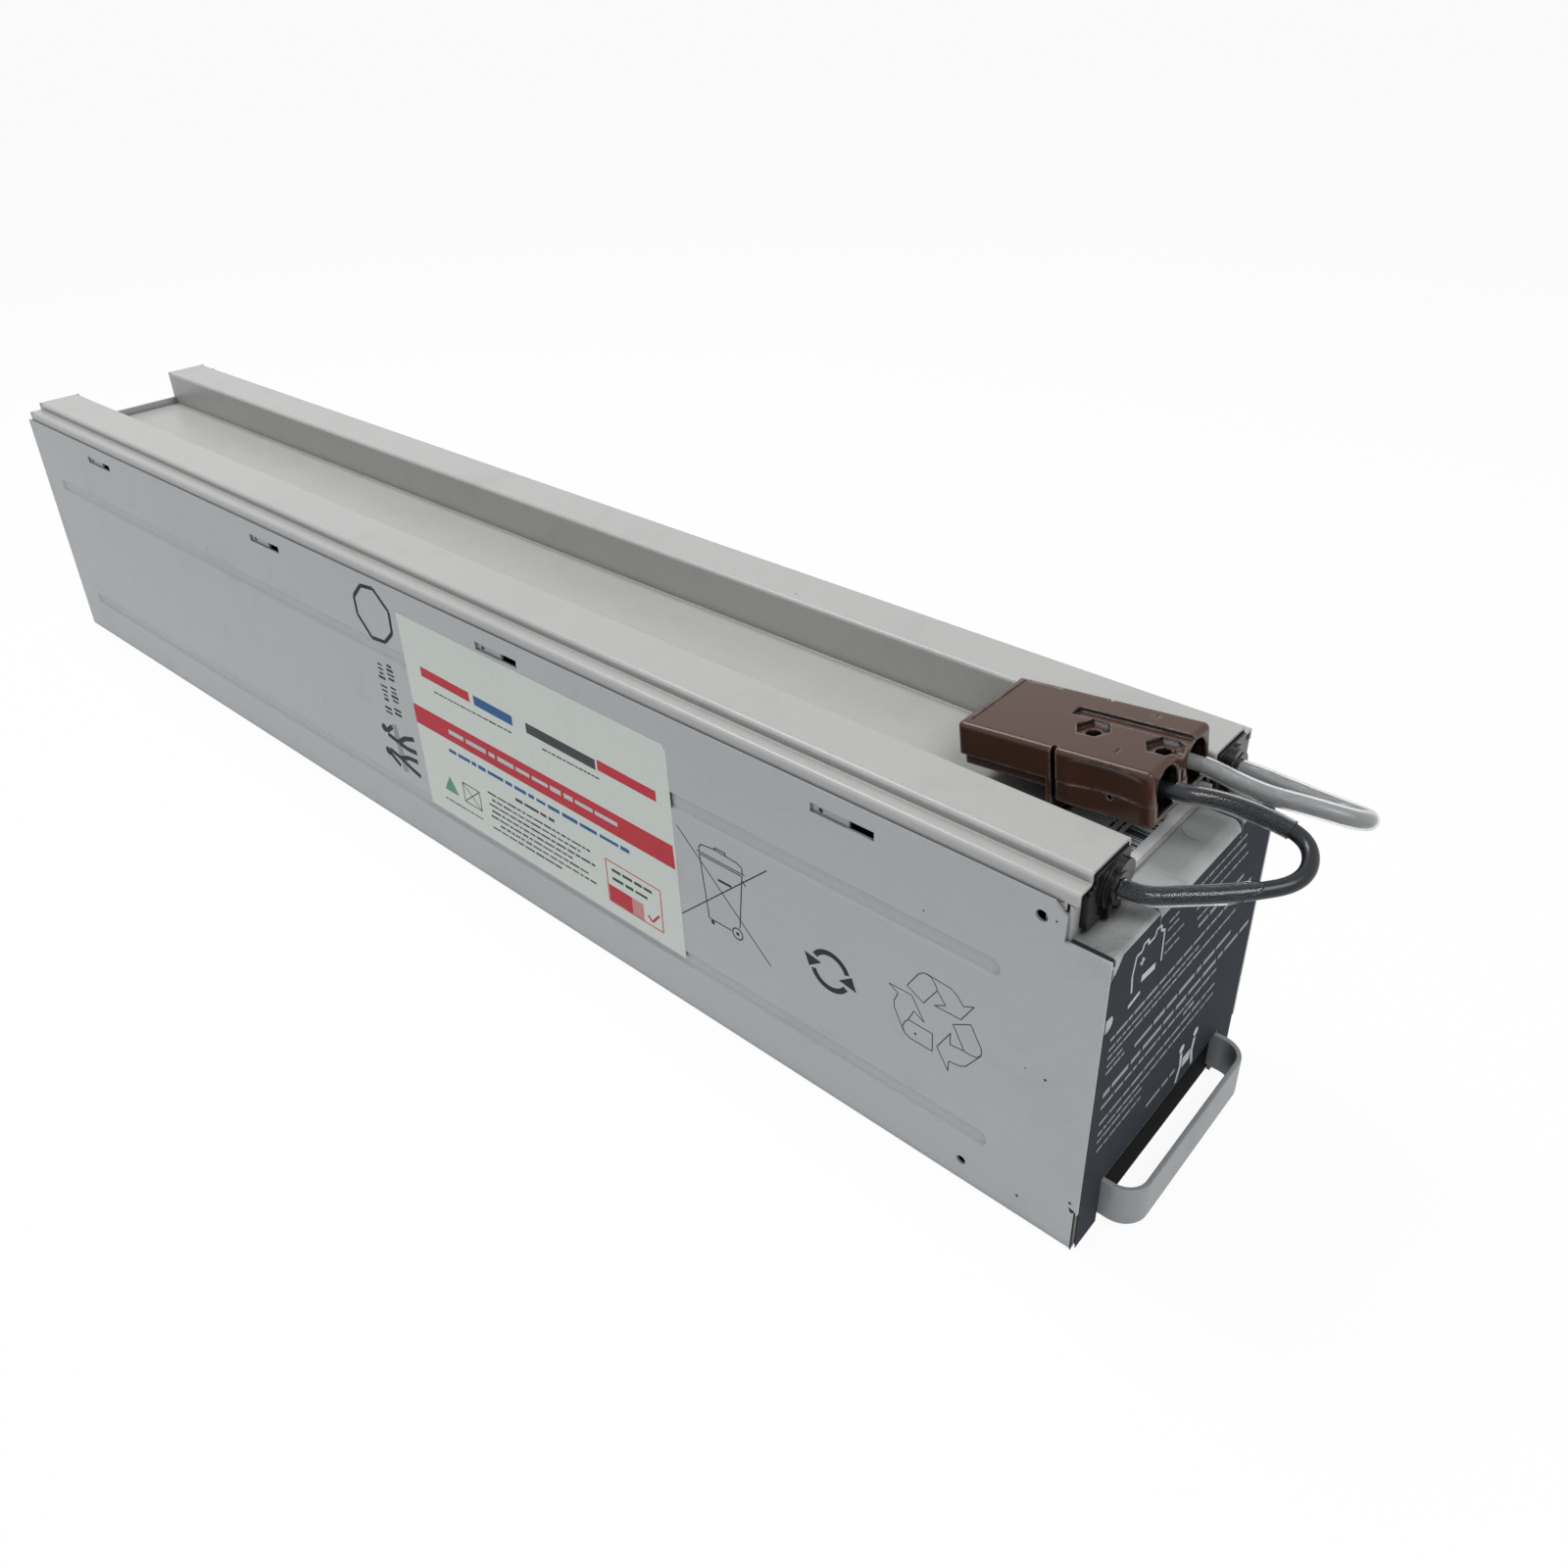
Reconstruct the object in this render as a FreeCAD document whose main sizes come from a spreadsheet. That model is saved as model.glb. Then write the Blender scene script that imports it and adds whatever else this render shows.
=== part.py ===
import FreeCAD, Part
import math
import os
import Sketcher
from FreeCAD import Vector

os.makedirs("parts", exist_ok=True)
doc = FreeCAD.newDocument("battery_cartridge")
sheet = doc.addObject("Spreadsheet::Sheet", "Sizes")

# sizes in millimetres; y = 0 is the outer face of the front wall, +y runs to the rear
sizes = {
    "case_width": 98, "sheet_thick": 1, "shelf_height": 103.5, "panel_rise": 10.7,
    "shelf_depth": 12.5, "bend_outer": 1.4, "bend_inner": 0.4, "flange_bend": 3.2,
    # top cover
    "cover_front": 10.4, "shoulder_width": 5.3, "rail_width": 19.2, "rail_height": 16.5,
    "step_drop": 3.3, "lip_depth": 6, "floor_rise": 1.3, "floor_inset": 1.8, "rear_lip": 3.5,
    # pressed beads, lances and holes of the side panels
    "bead_front": 29, "bead_back": 18, "bead_half": 3.2, "bead_depth": 0.8, "bead_slope": 50,
    "bead_drop": 29.8, "bead_lower": 21.5, "slot_first": 69.8, "slot_rear": 62.7,
    "slot_length": 22, "slot_open": 9, "slot_height": 3, "slot_drop": 6.9, "slot_count": 4,
    "hole_upper_y": 19.1, "hole_upper_drop": 6.2, "hole_upper_r": 1.7,
    "hole_lower_y": 36.8, "hole_lower_z": 8.6, "hole_lower_r": 1.5,
    # handle
    "handle_in": 13.1, "handle_reach": 11, "handle_low": 3.3, "handle_high": 16.8,
    "handle_thick": 1.6, "handle_bend": 8, "handle_foot_gap": 3.5, "notch_clear": 0.2,
    # batteries
    "block_gap": 3, "block_length": 70, "block_start": 12.5, "block_count": 8,
    "rear_space": 27.5, "rear_recess": 3, "liner_thick": 0.5, "tab_in": 10, "tab_y": 58,
    "tab_width": 6.4, "tab_thick": 0.8, "tab_height": 6,
    # grommets and cords
    "grommet_in": 10.1, "grommet_lift": 8.2, "grommet_face": 6.8, "cord_dia": 4.2, "sleeve_dia": 5.3,
    # two-pole connector, in its own frame
    "plug_width": 33.2, "plug_length": 58.4, "plug_height": 16.6, "plug_split": 6.9,
    "plug_side_gap": 1.2, "plug_y": 10.8, "plug_lift": 9.8, "plug_tilt": 6.5,
    "pole_in": 8.3, "pole_high": 8.3, "mouth_high": 9.2, "mouth_r": 5.9, "mouth_depth": 9,
    "barrel_r": 3.3, "barrel_face": 4, "barrel_end": 18, "socket_half": 5.9, "socket_low": 4.8,
    "socket_high": 14.6, "mouth_half": 5.2, "mouth_low": 2.6, "hex_front": 4.6, "hex_rear": 24.7,
    "hex_r": 5, "hex_depth": 1.6, "hex_aside": 1.5, "screw_r": 2.1, "grip_y": 13.6, "grip_r": 41,
    "grip_deep": 1.5, "grip_rim": 4, "grip_top": 12.9, "notch_y": 27.6, "notch_wide": 1.5,
    "foot_thick": 1.7, "tray_low": 3.4, "tray_in": 1.5,
    # papers and foams
    "paper": 0.15, "soft_gap": 0.3,
}
for row, (name, value) in enumerate(sizes.items(), 1):
    sheet.set("A%d" % row, name)
    sheet.set("B%d" % row, str(value))
    sheet.setAlias("B%d" % row, name)
doc.recompute()

# sizes that follow from the ones above
derived = {
    "@case_length": "(@block_start + @block_count * @block_length + @rear_space)",
    "@cover_rear": "(@case_length - @rear_recess)",
    "@panel_height": "(@shelf_height + @panel_rise)",
    "@floor_top": "(@shelf_height + @floor_rise)",
    "@rail_top": "(@floor_top + @rail_height)",
    "@shoulder_top": "(@rail_top - @step_drop)",
    "@lip_bottom": "(@shoulder_top - @lip_depth)",
    "@rear_lip_top": "(@floor_top + @rear_lip)",
    "@floor_front": "(@cover_front + @floor_inset)",
    "@rail_outer": "(@case_width / 2 - @sheet_thick - @shoulder_width)",
    "@rail_inner": "(@rail_outer - @rail_width)",
    "@bead_rear": "(@case_length - @bead_back)",
    "@bead_upper": "(@panel_height - @bead_drop)",
    "@slot_mid": "(@panel_height - @slot_drop)",
    "@slot_pitch": "((@case_length - @slot_first - @slot_length - @slot_rear) / (@slot_count - 1))",
    "@hole_upper_z": "(@panel_height - @hole_upper_drop)",
    "@handle_half": "(@case_width / 2 - @handle_in)",
    "@handle_foot_end": "(@case_width / 2 - @sheet_thick - @handle_foot_gap)",
    "@block_width": "(@case_width - 2 * @sheet_thick - 2 * @block_gap)",
    "@block_height": "(@shelf_height - 2 * @sheet_thick - @liner_thick)",
    "@tab_x": "(@block_width / 2 - @tab_in)",
    "@grommet_x": "(@rail_inner + @grommet_in)",
    "@grommet_z": "(@floor_top + @grommet_lift)",
    "@plug_x": "(@rail_inner - @plug_side_gap - @plug_width)",
    "@plug_z": "(@floor_top + @plug_lift)",
}


def full(text):
    """Sheet names written as @name become Sizes.name, derived sizes are written out."""
    text = str(text)
    for _ in range(5):
        for name, formula in derived.items():
            text = text.replace(name, formula)
    return text.replace("@", "Sizes.")


front_shift = full("-(@case_length - @handle_reach) / 2")


def size(text):
    return float(sheet.evalExpression(full(text)))


def new_body(name):
    body = doc.addObject("PartDesign::Body", name)
    body.Label = name
    body.setExpression("Placement.Base.y", front_shift)
    return body


def origin_plane(body, role):
    for feature in body.Origin.OriginFeatures:
        if feature.Role == role:
            return feature


def new_sketch(body, plane, offset="0"):
    """Sketch on XY_Plane (x, y), XZ_Plane (x, z; faces the front) or YZ_Plane (y, z)."""
    sketch = body.newObject("Sketcher::SketchObject", body.Name + "_sketch")
    sketch.AttachmentSupport = [(origin_plane(body, plane), "")]
    sketch.MapMode = "FlatFace"
    sign = "-" if plane == "XZ_Plane" else ""
    sketch.setExpression("AttachmentOffset.Base.z", full("%s(%s)" % (sign, offset)))
    return sketch


def fix_point(sketch, geo, pos, across, up):
    for kind, text in (("DistanceX", across), ("DistanceY", up)):
        number = sketch.addConstraint(Sketcher.Constraint(kind, -1, 1, geo, pos, size(text)))
        sketch.setExpression("Constraints[%d]" % number, full(text))


def polygon(sketch, corners):
    """Closed outline; every corner is dimensioned from the sheet."""
    points = [Vector(size(a), size(b), 0) for a, b in corners]
    first = sketch.GeometryCount
    count = len(points)
    for i in range(count):
        sketch.addGeometry(Part.LineSegment(points[i], points[(i + 1) % count]), False)
    for i in range(count):
        sketch.addConstraint(Sketcher.Constraint("Coincident", first + i, 2, first + (i + 1) % count, 1))
    for i, (across, up) in enumerate(corners):
        fix_point(sketch, first + i, 1, across, up)


def rectangle(sketch, left, low, right, high):
    polygon(sketch, [(left, low), (right, low), (right, high), (left, high)])


def circle(sketch, across, up, radius):
    shape = Part.Circle(Vector(size(across), size(up), 0), Vector(0, 0, 1), size(radius))
    geo = sketch.addGeometry(shape, False)
    fix_point(sketch, geo, 3, across, up)
    number = sketch.addConstraint(Sketcher.Constraint("Radius", geo, size(radius)))
    sketch.setExpression("Constraints[%d]" % number, full(radius))


def long_hole(sketch, start, end, up, radius):
    """Stadium outline along the first sketch axis."""
    a, b, z, r = size(start), size(end), size(up), size(radius)
    axis = Vector(0, 0, 1)
    ends = []
    for mid, lo, hi in ((a, math.pi / 2, 3 * math.pi / 2), (b, -math.pi / 2, math.pi / 2)):
        arc = Part.ArcOfCircle(Part.Circle(Vector(mid, z, 0), axis, r), lo, hi)
        ends.append(sketch.addGeometry(arc, False))
    low = sketch.addGeometry(Part.LineSegment(Vector(a, z - r, 0), Vector(b, z - r, 0)), False)
    high = sketch.addGeometry(Part.LineSegment(Vector(b, z + r, 0), Vector(a, z + r, 0)), False)
    for one, end_one, two, end_two in ((ends[0], 2, low, 1), (low, 2, ends[1], 1),
                                       (ends[1], 2, high, 1), (high, 2, ends[0], 1)):
        sketch.addConstraint(Sketcher.Constraint("Tangent", one, end_one, two, end_two))
    fix_point(sketch, ends[0], 3, start, up)
    fix_point(sketch, ends[1], 3, end, up)
    number = sketch.addConstraint(Sketcher.Constraint("Radius", ends[0], r))
    sketch.setExpression("Constraints[%d]" % number, full(radius))


def pad(body, sketch, length, backwards=False):
    feature = body.newObject("PartDesign::Pad", body.Name + "_pad")
    feature.Profile = sketch
    feature.setExpression("Length", full(length))
    feature.Reversed = backwards
    sketch.Visibility = False
    return feature


def pocket(body, sketch, length=None, backwards=False):
    """Without a length the cut goes through the whole body both ways."""
    feature = body.newObject("PartDesign::Pocket", body.Name + "_pocket")
    feature.Profile = sketch
    if length is None:
        feature.Type = "ThroughAll"
        feature.Midplane = True
    else:
        feature.Type = "Length"
        feature.setExpression("Length", full(length))
        feature.Reversed = backwards
    sketch.Visibility = False
    return feature


def mirrored(body, features):
    feature = body.newObject("PartDesign::Mirrored", body.Name + "_mirror")
    feature.Originals = features
    feature.MirrorPlane = (origin_plane(body, "YZ_Plane"), [""])
    body.Tip = feature
    return feature


def rounded(body, radius, wanted):
    """Fillet on the edges of the present shape for which wanted(middle, direction, length) holds."""
    doc.recompute()
    base = body.Tip
    names = []
    for number, edge in enumerate(base.Shape.Edges, 1):
        ends = [v.Point for v in edge.Vertexes]
        if len(ends) == 2 and edge.Curve.TypeId == "Part::GeomLine":
            run = ends[1] - ends[0]
            if wanted((ends[0] + ends[1]) * 0.5, Vector(run).normalize(), run.Length):
                names.append("Edge%d" % number)
    feature = body.newObject("PartDesign::Fillet", body.Name + "_bend")
    feature.Base = (base, names)
    feature.setExpression("Radius", full(radius))
    body.Tip = feature
    return feature


def near(value, *wanted):
    return any(abs(value - w) < 0.01 for w in wanted)


def along_y(direction):
    return abs(direction.y) > 0.999


# ---- pan: bottom and both side panels folded from one sheet ----
pan = new_body("case_pan")
sk = new_sketch(pan, "XZ_Plane")
w, t = "@case_width / 2", "@sheet_thick"
polygon(sk, [("-" + w, "0"), (w, "0"), (w, "@panel_height"), (w + " - @sheet_thick", "@panel_height"),
             (w + " - @sheet_thick", t), ("-(@case_width / 2 - @sheet_thick)", t),
             ("-(@case_width / 2 - @sheet_thick)", "@panel_height"), ("-" + w, "@panel_height")])
pad(pan, sk, "@case_length", True)
half, th = size(w), size(t)
rounded(pan, "@bend_outer", lambda m, d, n: along_y(d) and near(abs(m.x), half) and near(m.z, 0))
rounded(pan, "@bend_inner", lambda m, d, n: along_y(d) and near(abs(m.x), half - th) and near(m.z, th))
# shelf notch at the top front corner, relief at the bottom front corner
sk = new_sketch(pan, "YZ_Plane")
polygon(sk, [("-1", "@shelf_height"), ("@shelf_depth", "@shelf_height"),
             ("@shelf_depth", "@panel_height - 3.5"), ("@shelf_depth + 3.5", "@panel_height"),
             ("@shelf_depth + 3.5", "@panel_height + 5"), ("-1", "@panel_height + 5")])
pocket(pan, sk)
sk = new_sketch(pan, "YZ_Plane")
rectangle(sk, "-1", "-1", "@sheet_thick - 0.2", "@handle_high - 2")
pocket(pan, sk)
sk = new_sketch(pan, "XY_Plane", "-1")
rectangle(sk, "-(@case_width / 2 - 2 * @sheet_thick)", "-1", w + " - 2 * @sheet_thick", "@sheet_thick + 0.2")
pocket(pan, sk, "@sheet_thick * 2 + 1", True)
# beads and lances are pressed inwards: metal added inside, taken away outside
bead_cells = []
for grow, offset, sign in (("0.3", "-(@case_width / 2 - @sheet_thick)", 1), ("0", "-@case_width / 2", -1)):
    beads = new_sketch(pan, "YZ_Plane", offset)
    for level in ("@bead_upper", "@bead_lower"):
        long_hole(beads, "@bead_front + @bead_half", "@bead_rear - @bead_half", level, "@bead_half + " + grow)
    lances = new_sketch(pan, "YZ_Plane", offset)
    for i in range(int(sizes["slot_count"])):
        start = "@slot_first + %d * @slot_pitch" % i
        rectangle(lances, start + " + @slot_open", "@slot_mid - @slot_height / 2 - " + grow,
                  start + " + @slot_length + " + grow, "@slot_mid + @slot_height / 2 + " + grow)
    for sk in (beads, lances):
        if sign > 0:
            feature = pad(pan, sk, "@bead_depth")
        else:
            feature = pocket(pan, sk, "@bead_depth", True)
        if sk is beads:
            feature.setExpression("TaperAngle", full("-@bead_slope"))
        bead_cells.append(feature)
mirrored(pan, bead_cells)
# openings of the lances, one small hole above and one below
sk = new_sketch(pan, "YZ_Plane")
for i in range(int(sizes["slot_count"])):
    start = "@slot_first + %d * @slot_pitch" % i
    rectangle(sk, start, "@slot_mid - @slot_height / 2", start + " + @slot_open",
              "@slot_mid + @slot_height / 2")
    circle(sk, start + " + @slot_length - 3.2", "@slot_mid - 0.3", "0.75")
circle(sk, "@hole_upper_y", "@hole_upper_z", "@hole_upper_r")
circle(sk, "@hole_lower_y", "@hole_lower_z", "@hole_lower_r")
pocket(pan, sk)

# ---- rear wall: closes the pan and both rails, stands a little above the channel floor ----
rear = new_body("rear_wall")
sk = new_sketch(rear, "XZ_Plane", "@cover_rear")
inside = "@case_width / 2 - @sheet_thick"
steps = [(inside + " - 1.2", t), (inside, "@sheet_thick + 1.2"), (inside, "@shoulder_top"),
         ("@rail_outer", "@shoulder_top"),
         ("@rail_outer", "@rail_top"), ("@rail_inner", "@rail_top"), ("@rail_inner", "@rear_lip_top")]
polygon(sk, steps + [("-(%s)" % a, b) for a, b in reversed(steps)])
pad(rear, sk, t, True)
sk = new_sketch(rear, "XY_Plane", "@sheet_thick + 1.2")
rectangle(sk, "-(%s)" % inside, "@cover_rear - 12", "-(@case_width / 2 - 2 * @sheet_thick)", "@cover_rear")
mirrored(rear, [pad(rear, sk, "@lip_bottom - 2.2 - @sheet_thick")])
sk = new_sketch(rear, "XY_Plane", "@floor_top - 2 * @sheet_thick")
rectangle(sk, "-(@rail_inner - 1)", "@cover_rear - 12", "@rail_inner - 1", "@cover_rear")
pad(rear, sk, t)

# ---- top cover: one sheet folded into two hollow rails with a channel between ----
cover = new_body("top_cover")
sk = new_sketch(cover, "XZ_Plane", "@cover_front")
outside = [(inside, "@lip_bottom"), (inside, "@shoulder_top"), ("@rail_outer", "@shoulder_top"),
           ("@rail_outer", "@rail_top"), ("@rail_inner", "@rail_top"), ("@rail_inner", "@floor_top")]
under = [("@case_width / 2 - 2 * @sheet_thick", "@lip_bottom"),
         ("@case_width / 2 - 2 * @sheet_thick", "@shoulder_top - @sheet_thick"),
         ("@rail_outer - @sheet_thick", "@shoulder_top - @sheet_thick"),
         ("@rail_outer - @sheet_thick", "@rail_top - @sheet_thick"),
         ("@rail_inner + @sheet_thick", "@rail_top - @sheet_thick"),
         ("@rail_inner + @sheet_thick", "@floor_top - @sheet_thick")]
polygon(sk, outside + [("-(%s)" % a, b) for a, b in reversed(outside)]
        + [("-(%s)" % a, b) for a, b in under] + list(reversed(under)))
pad(cover, sk, "@cover_rear - @cover_front", True)
top, step, low = size("@rail_top"), size("@shoulder_top"), size("@floor_top")
x_lip, x_out, x_in = size(inside), size("@rail_outer"), size("@rail_inner")
tight = [(x_out, step), (x_in, low), (x_lip - th, step - th), (x_out - th, top - th), (x_in + th, top - th)]
wide = [(x_lip, step), (x_out, top), (x_in, top), (x_out - th, step - th), (x_in + th, low - th)]
rounded(cover, "@bend_outer", lambda m, d, n: along_y(d)
        and any(near(abs(m.x), a) and near(m.z, b) for a, b in wide))
rounded(cover, "@bend_inner", lambda m, d, n: along_y(d)
        and any(near(abs(m.x), a) and near(m.z, b) for a, b in tight))
sk = new_sketch(cover, "XY_Plane", "@floor_top - 3")
rectangle(sk, "-(@rail_inner - 0.5)", "@cover_front - 1", "@rail_inner - 0.5", "@floor_front")
pocket(cover, sk, "6", True)
sk = new_sketch(cover, "YZ_Plane")
rectangle(sk, "@cover_front - 1", "@lip_bottom - 1", "@shelf_depth + 0.8", "@panel_height")
pocket(cover, sk)

# ---- front wall: front plate, side flanges, shelves, step walls and channel flange in one sheet ----
front = new_body("front_wall")
sk = new_sketch(front, "XZ_Plane")
gap_out, gap_in = "@rail_inner + 0.9", "@rail_inner - 0.2"
notch = "@handle_half + @notch_clear"
edge = [(inside + " - 1.6", "0"), (inside + " - 1.6", "@sheet_thick + 1.2"), (inside, "@sheet_thick + 1.2"),
        (inside, "@shelf_height - 2.2"), (inside + " - 1.4", "@shelf_height - 2.2"),
        (inside + " - 1.4", "@shelf_height"), (gap_out, "@shelf_height"),
        (gap_out, "@shelf_height - 5"), (gap_in, "@shelf_height - 5"), (gap_in, "@floor_top - @sheet_thick")]
polygon(sk, [("-(%s)" % notch, "0"), ("-(%s)" % notch, "@handle_high + @notch_clear"),
             (notch, "@handle_high + @notch_clear"), (notch, "0")]
        + edge + [("-(%s)" % a, b) for a, b in reversed(edge)])
pad(front, sk, t, True)
sk = new_sketch(front, "XY_Plane", "@sheet_thick + 1.2")
rectangle(sk, "-(%s)" % inside, "0", "-(@case_width / 2 - 2 * @sheet_thick)", "@shelf_depth - 1.5")
side = pad(front, sk, "@shelf_height - 3.4 - @sheet_thick")
sk = new_sketch(front, "XY_Plane", "@shelf_height - @sheet_thick")
rectangle(sk, "-(%s - 1.4)" % inside, "0", "-(%s)" % gap_out, "@shelf_depth")
shelf = pad(front, sk, t)
sk = new_sketch(front, "XZ_Plane", "@shelf_depth - @sheet_thick")
clear = " - @sheet_thick - 0.45"
polygon(sk, [("-(%s)" % inside, "@shelf_height - @sheet_thick"),
             ("-(@rail_inner + @sheet_thick + 0.45)", "@shelf_height - @sheet_thick"),
             ("-(@rail_inner + @sheet_thick + 0.45)", "@rail_top - @sheet_thick"),
             ("-(@rail_outer" + clear + ")", "@rail_top - @sheet_thick"),
             ("-(@rail_outer" + clear + ")", "@shoulder_top" + clear),
             ("-(%s%s)" % (inside, clear), "@shoulder_top" + clear),
             ("-(%s%s)" % (inside, clear), "@panel_height - 0.2"),
             ("-(%s)" % inside, "@panel_height - 0.2")])
wall = pad(front, sk, t, True)
sk = new_sketch(front, "XY_Plane", "@shelf_height - @sheet_thick")
rectangle(sk, "-(%s)" % inside, "@shelf_depth - @sheet_thick", "-(@case_width / 2 - 2 * @sheet_thick)",
          "@shelf_depth + 6")
ear = pad(front, sk, "@lip_bottom - @shelf_height - 0.5 + @sheet_thick")
mirrored(front, [side, shelf, wall, ear])
sk = new_sketch(front, "XY_Plane", "@floor_top - 2 * @sheet_thick")
rectangle(sk, "-(%s)" % gap_in, "0", gap_in, "@shelf_depth + 7.5")
pad(front, sk, t)
# openings of the step walls, through which the grommets and cords pass
sk = new_sketch(front, "XZ_Plane", "@shelf_depth - 2 * @sheet_thick")
for sign in ("-", ""):
    corners = (("- 6.6", "@rail_top + 1"), ("- 6.6", "@grommet_z - 6"), ("- 4.6", "@grommet_z - 7.5"),
               ("+ 4.6", "@grommet_z - 7.5"), ("+ 6.6", "@grommet_z - 6"), ("+ 6.6", "@rail_top + 1"))
    polygon(sk, [("%s(@grommet_x %s)" % (sign, a), b) for a, b in corners])
pocket(front, sk, "@sheet_thick * 3")
front_top, flange_top = size("@shelf_height"), size("@floor_top") - th
rounded(front, "@bend_outer", lambda m, d, n: abs(d.z) > 0.999 and near(abs(m.x), x_lip) and near(m.y, 0)
        and n > 20)
rounded(front, "1", lambda m, d, n: abs(d.x) > 0.999 and near(m.z, front_top) and near(m.y, 0)
        and n > 5)
rounded(front, "@flange_bend", lambda m, d, n: abs(d.x) > 0.999 and near(m.z, flange_top) and near(m.y, 0)
        and n > 5)
rounded(front, "@flange_bend - @sheet_thick", lambda m, d, n: abs(d.x) > 0.999 and near(m.z, flange_top - th)
        and near(m.y, th) and n > 5)

# ---- handle: flat strap bent to a U, feet turned outwards behind the front wall ----
handle = new_body("handle")
sk = new_sketch(handle, "XY_Plane", "@handle_low")
reach, thick = "-@handle_reach", "@handle_thick"
outline = [("@handle_foot_end", "@sheet_thick"), ("@handle_foot_end", "@sheet_thick + @handle_thick"),
           ("@handle_half - @handle_thick", "@sheet_thick + @handle_thick"),
           ("@handle_half - @handle_thick", "-@handle_reach + @handle_thick")]
back = [("@handle_half", reach), ("@handle_half", "@sheet_thick")]
polygon(sk, outline + [("-(%s)" % a, b) for a, b in reversed(outline)]
        + [("-(%s)" % a, b) for a, b in reversed(back)] + back)
pad(handle, sk, "@handle_high - @handle_low")
hx, hy = size("@handle_half"), -sizes["handle_reach"]
ht = sizes["handle_thick"]
rounded(handle, "@handle_bend", lambda m, d, n: abs(d.z) > 0.999 and near(abs(m.x), hx) and near(m.y, hy))
rounded(handle, "@handle_bend - @handle_thick", lambda m, d, n: abs(d.z) > 0.999
        and near(abs(m.x), hx - ht) and near(m.y, hy + ht))
rounded(handle, "0.35", lambda m, d, n: abs(d.x) > 0.999 and m.y < -5)


# ---- black liner strip that shows through the handle's notch ----
strip = new_body("notch_liner")
sk = new_sketch(strip, "XZ_Plane", t)
side = "@handle_half - @handle_thick - @soft_gap"
rectangle(sk, "-(%s)" % side, "@sheet_thick", side, "@handle_high + 12")
pad(strip, sk, "0.8", True)

# ---- eight blocks standing in a row on a thin liner, foam at both ends ----
liner = new_body("bottom_liner")
sk = new_sketch(liner, "XY_Plane", t)
wide_in = "@case_width / 2 - 2 * @sheet_thick - @bead_depth"
rectangle(sk, "-(%s)" % wide_in, "@block_start", wide_in, "@block_start + @block_count * @block_length")
pad(liner, sk, "@liner_thick")
blocks = int(sizes["block_count"])
for i in range(blocks):
    block = new_body("battery_%d" % (i + 1))
    sk = new_sketch(block, "XY_Plane", "@sheet_thick + @liner_thick")
    low_y = "@block_start + %d * @block_length" % i
    rectangle(sk, "-@block_width / 2", low_y, "@block_width / 2", low_y + " + @block_length")
    pad(block, sk, "@block_height")
    rounded(block, "1.5", lambda m, d, n: abs(d.z) > 0.999)
block_top = "@sheet_thick + @liner_thick + @block_height"

tabs = new_body("battery_terminals")
sk = new_sketch(tabs, "XY_Plane", block_top)
for i in range(blocks):
    mid = "@block_start + %d * @block_length + @tab_y" % i
    for a, b in (("-(@tab_x + @tab_thick)", "-@tab_x"), ("@tab_x", "@tab_x + @tab_thick")):
        rectangle(sk, a, mid + " - @tab_width / 2", b, mid + " + @tab_width / 2")
pad(tabs, sk, "@tab_height")

# flat links join the tabs into one series string
for name, sign, pairs in (("right_links", "", (0, 2, 4, 6)), ("left_links", "-", (1, 3, 5))):
    links = new_body(name)
    sk = new_sketch(links, "XY_Plane", block_top + " + 1")
    for i in pairs:
        mid = "@block_start + %d * @block_length + @tab_y" % i
        ends = [sign + "(@tab_x + @tab_thick)", sign + "(@tab_x + @tab_thick + 1)"]
        if sign:
            ends.reverse()
        rectangle(sk, ends[0], mid + " - @tab_width / 2 - 1", ends[1],
                  mid + " + @block_length + @tab_width / 2 + 1")
    pad(links, sk, "@tab_height - 1")

feed = new_body("left_feed")
sk = new_sketch(feed, "XY_Plane", block_top + " + 1")
rectangle(sk, "-(@tab_x + @tab_thick + 1)", "@shelf_depth + 1.7", "-(@tab_x + @tab_thick)",
          "@block_start + @tab_y + @tab_width / 2 + 1")
pad(feed, sk, "@tab_height - 1")

# return strap: from the last block's left tab over the rear gap and forward through the right rail
back = new_body("return_strap")
last = "@block_start + %d * @block_length + @tab_y" % (blocks - 1)
turn = "@block_start + %d * @block_length + 12" % blocks
sk = new_sketch(back, "XY_Plane", block_top + " + 1")
rectangle(sk, "-(@tab_x + @tab_thick + 1)", last + " - @tab_width / 2 - 1", "-(@tab_x + @tab_thick)", turn)
pad(back, sk, "@tab_height - 1")
sk = new_sketch(back, "XZ_Plane", turn + " - 1")
rise = block_top + " + @tab_height"
right = "@tab_x + @tab_thick"
polygon(sk, [("-(%s + 1)" % right, block_top + " - 11"), (right + " + 4", block_top + " - 11"),
             (right + " + 4", rise + " + 7"), (right + " + 3", rise + " + 7"),
             (right + " + 3", block_top + " - 5"), ("-(%s)" % right, block_top + " - 5"),
             ("-(%s)" % right, rise), ("-(%s + 1)" % right, rise)])
pad(back, sk, "1", True)
sk = new_sketch(back, "XY_Plane", rise + " + 2")
rectangle(sk, right + " + 3", "@shelf_depth + 1.7", right + " + 4", turn)
pad(back, sk, "5")

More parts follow.
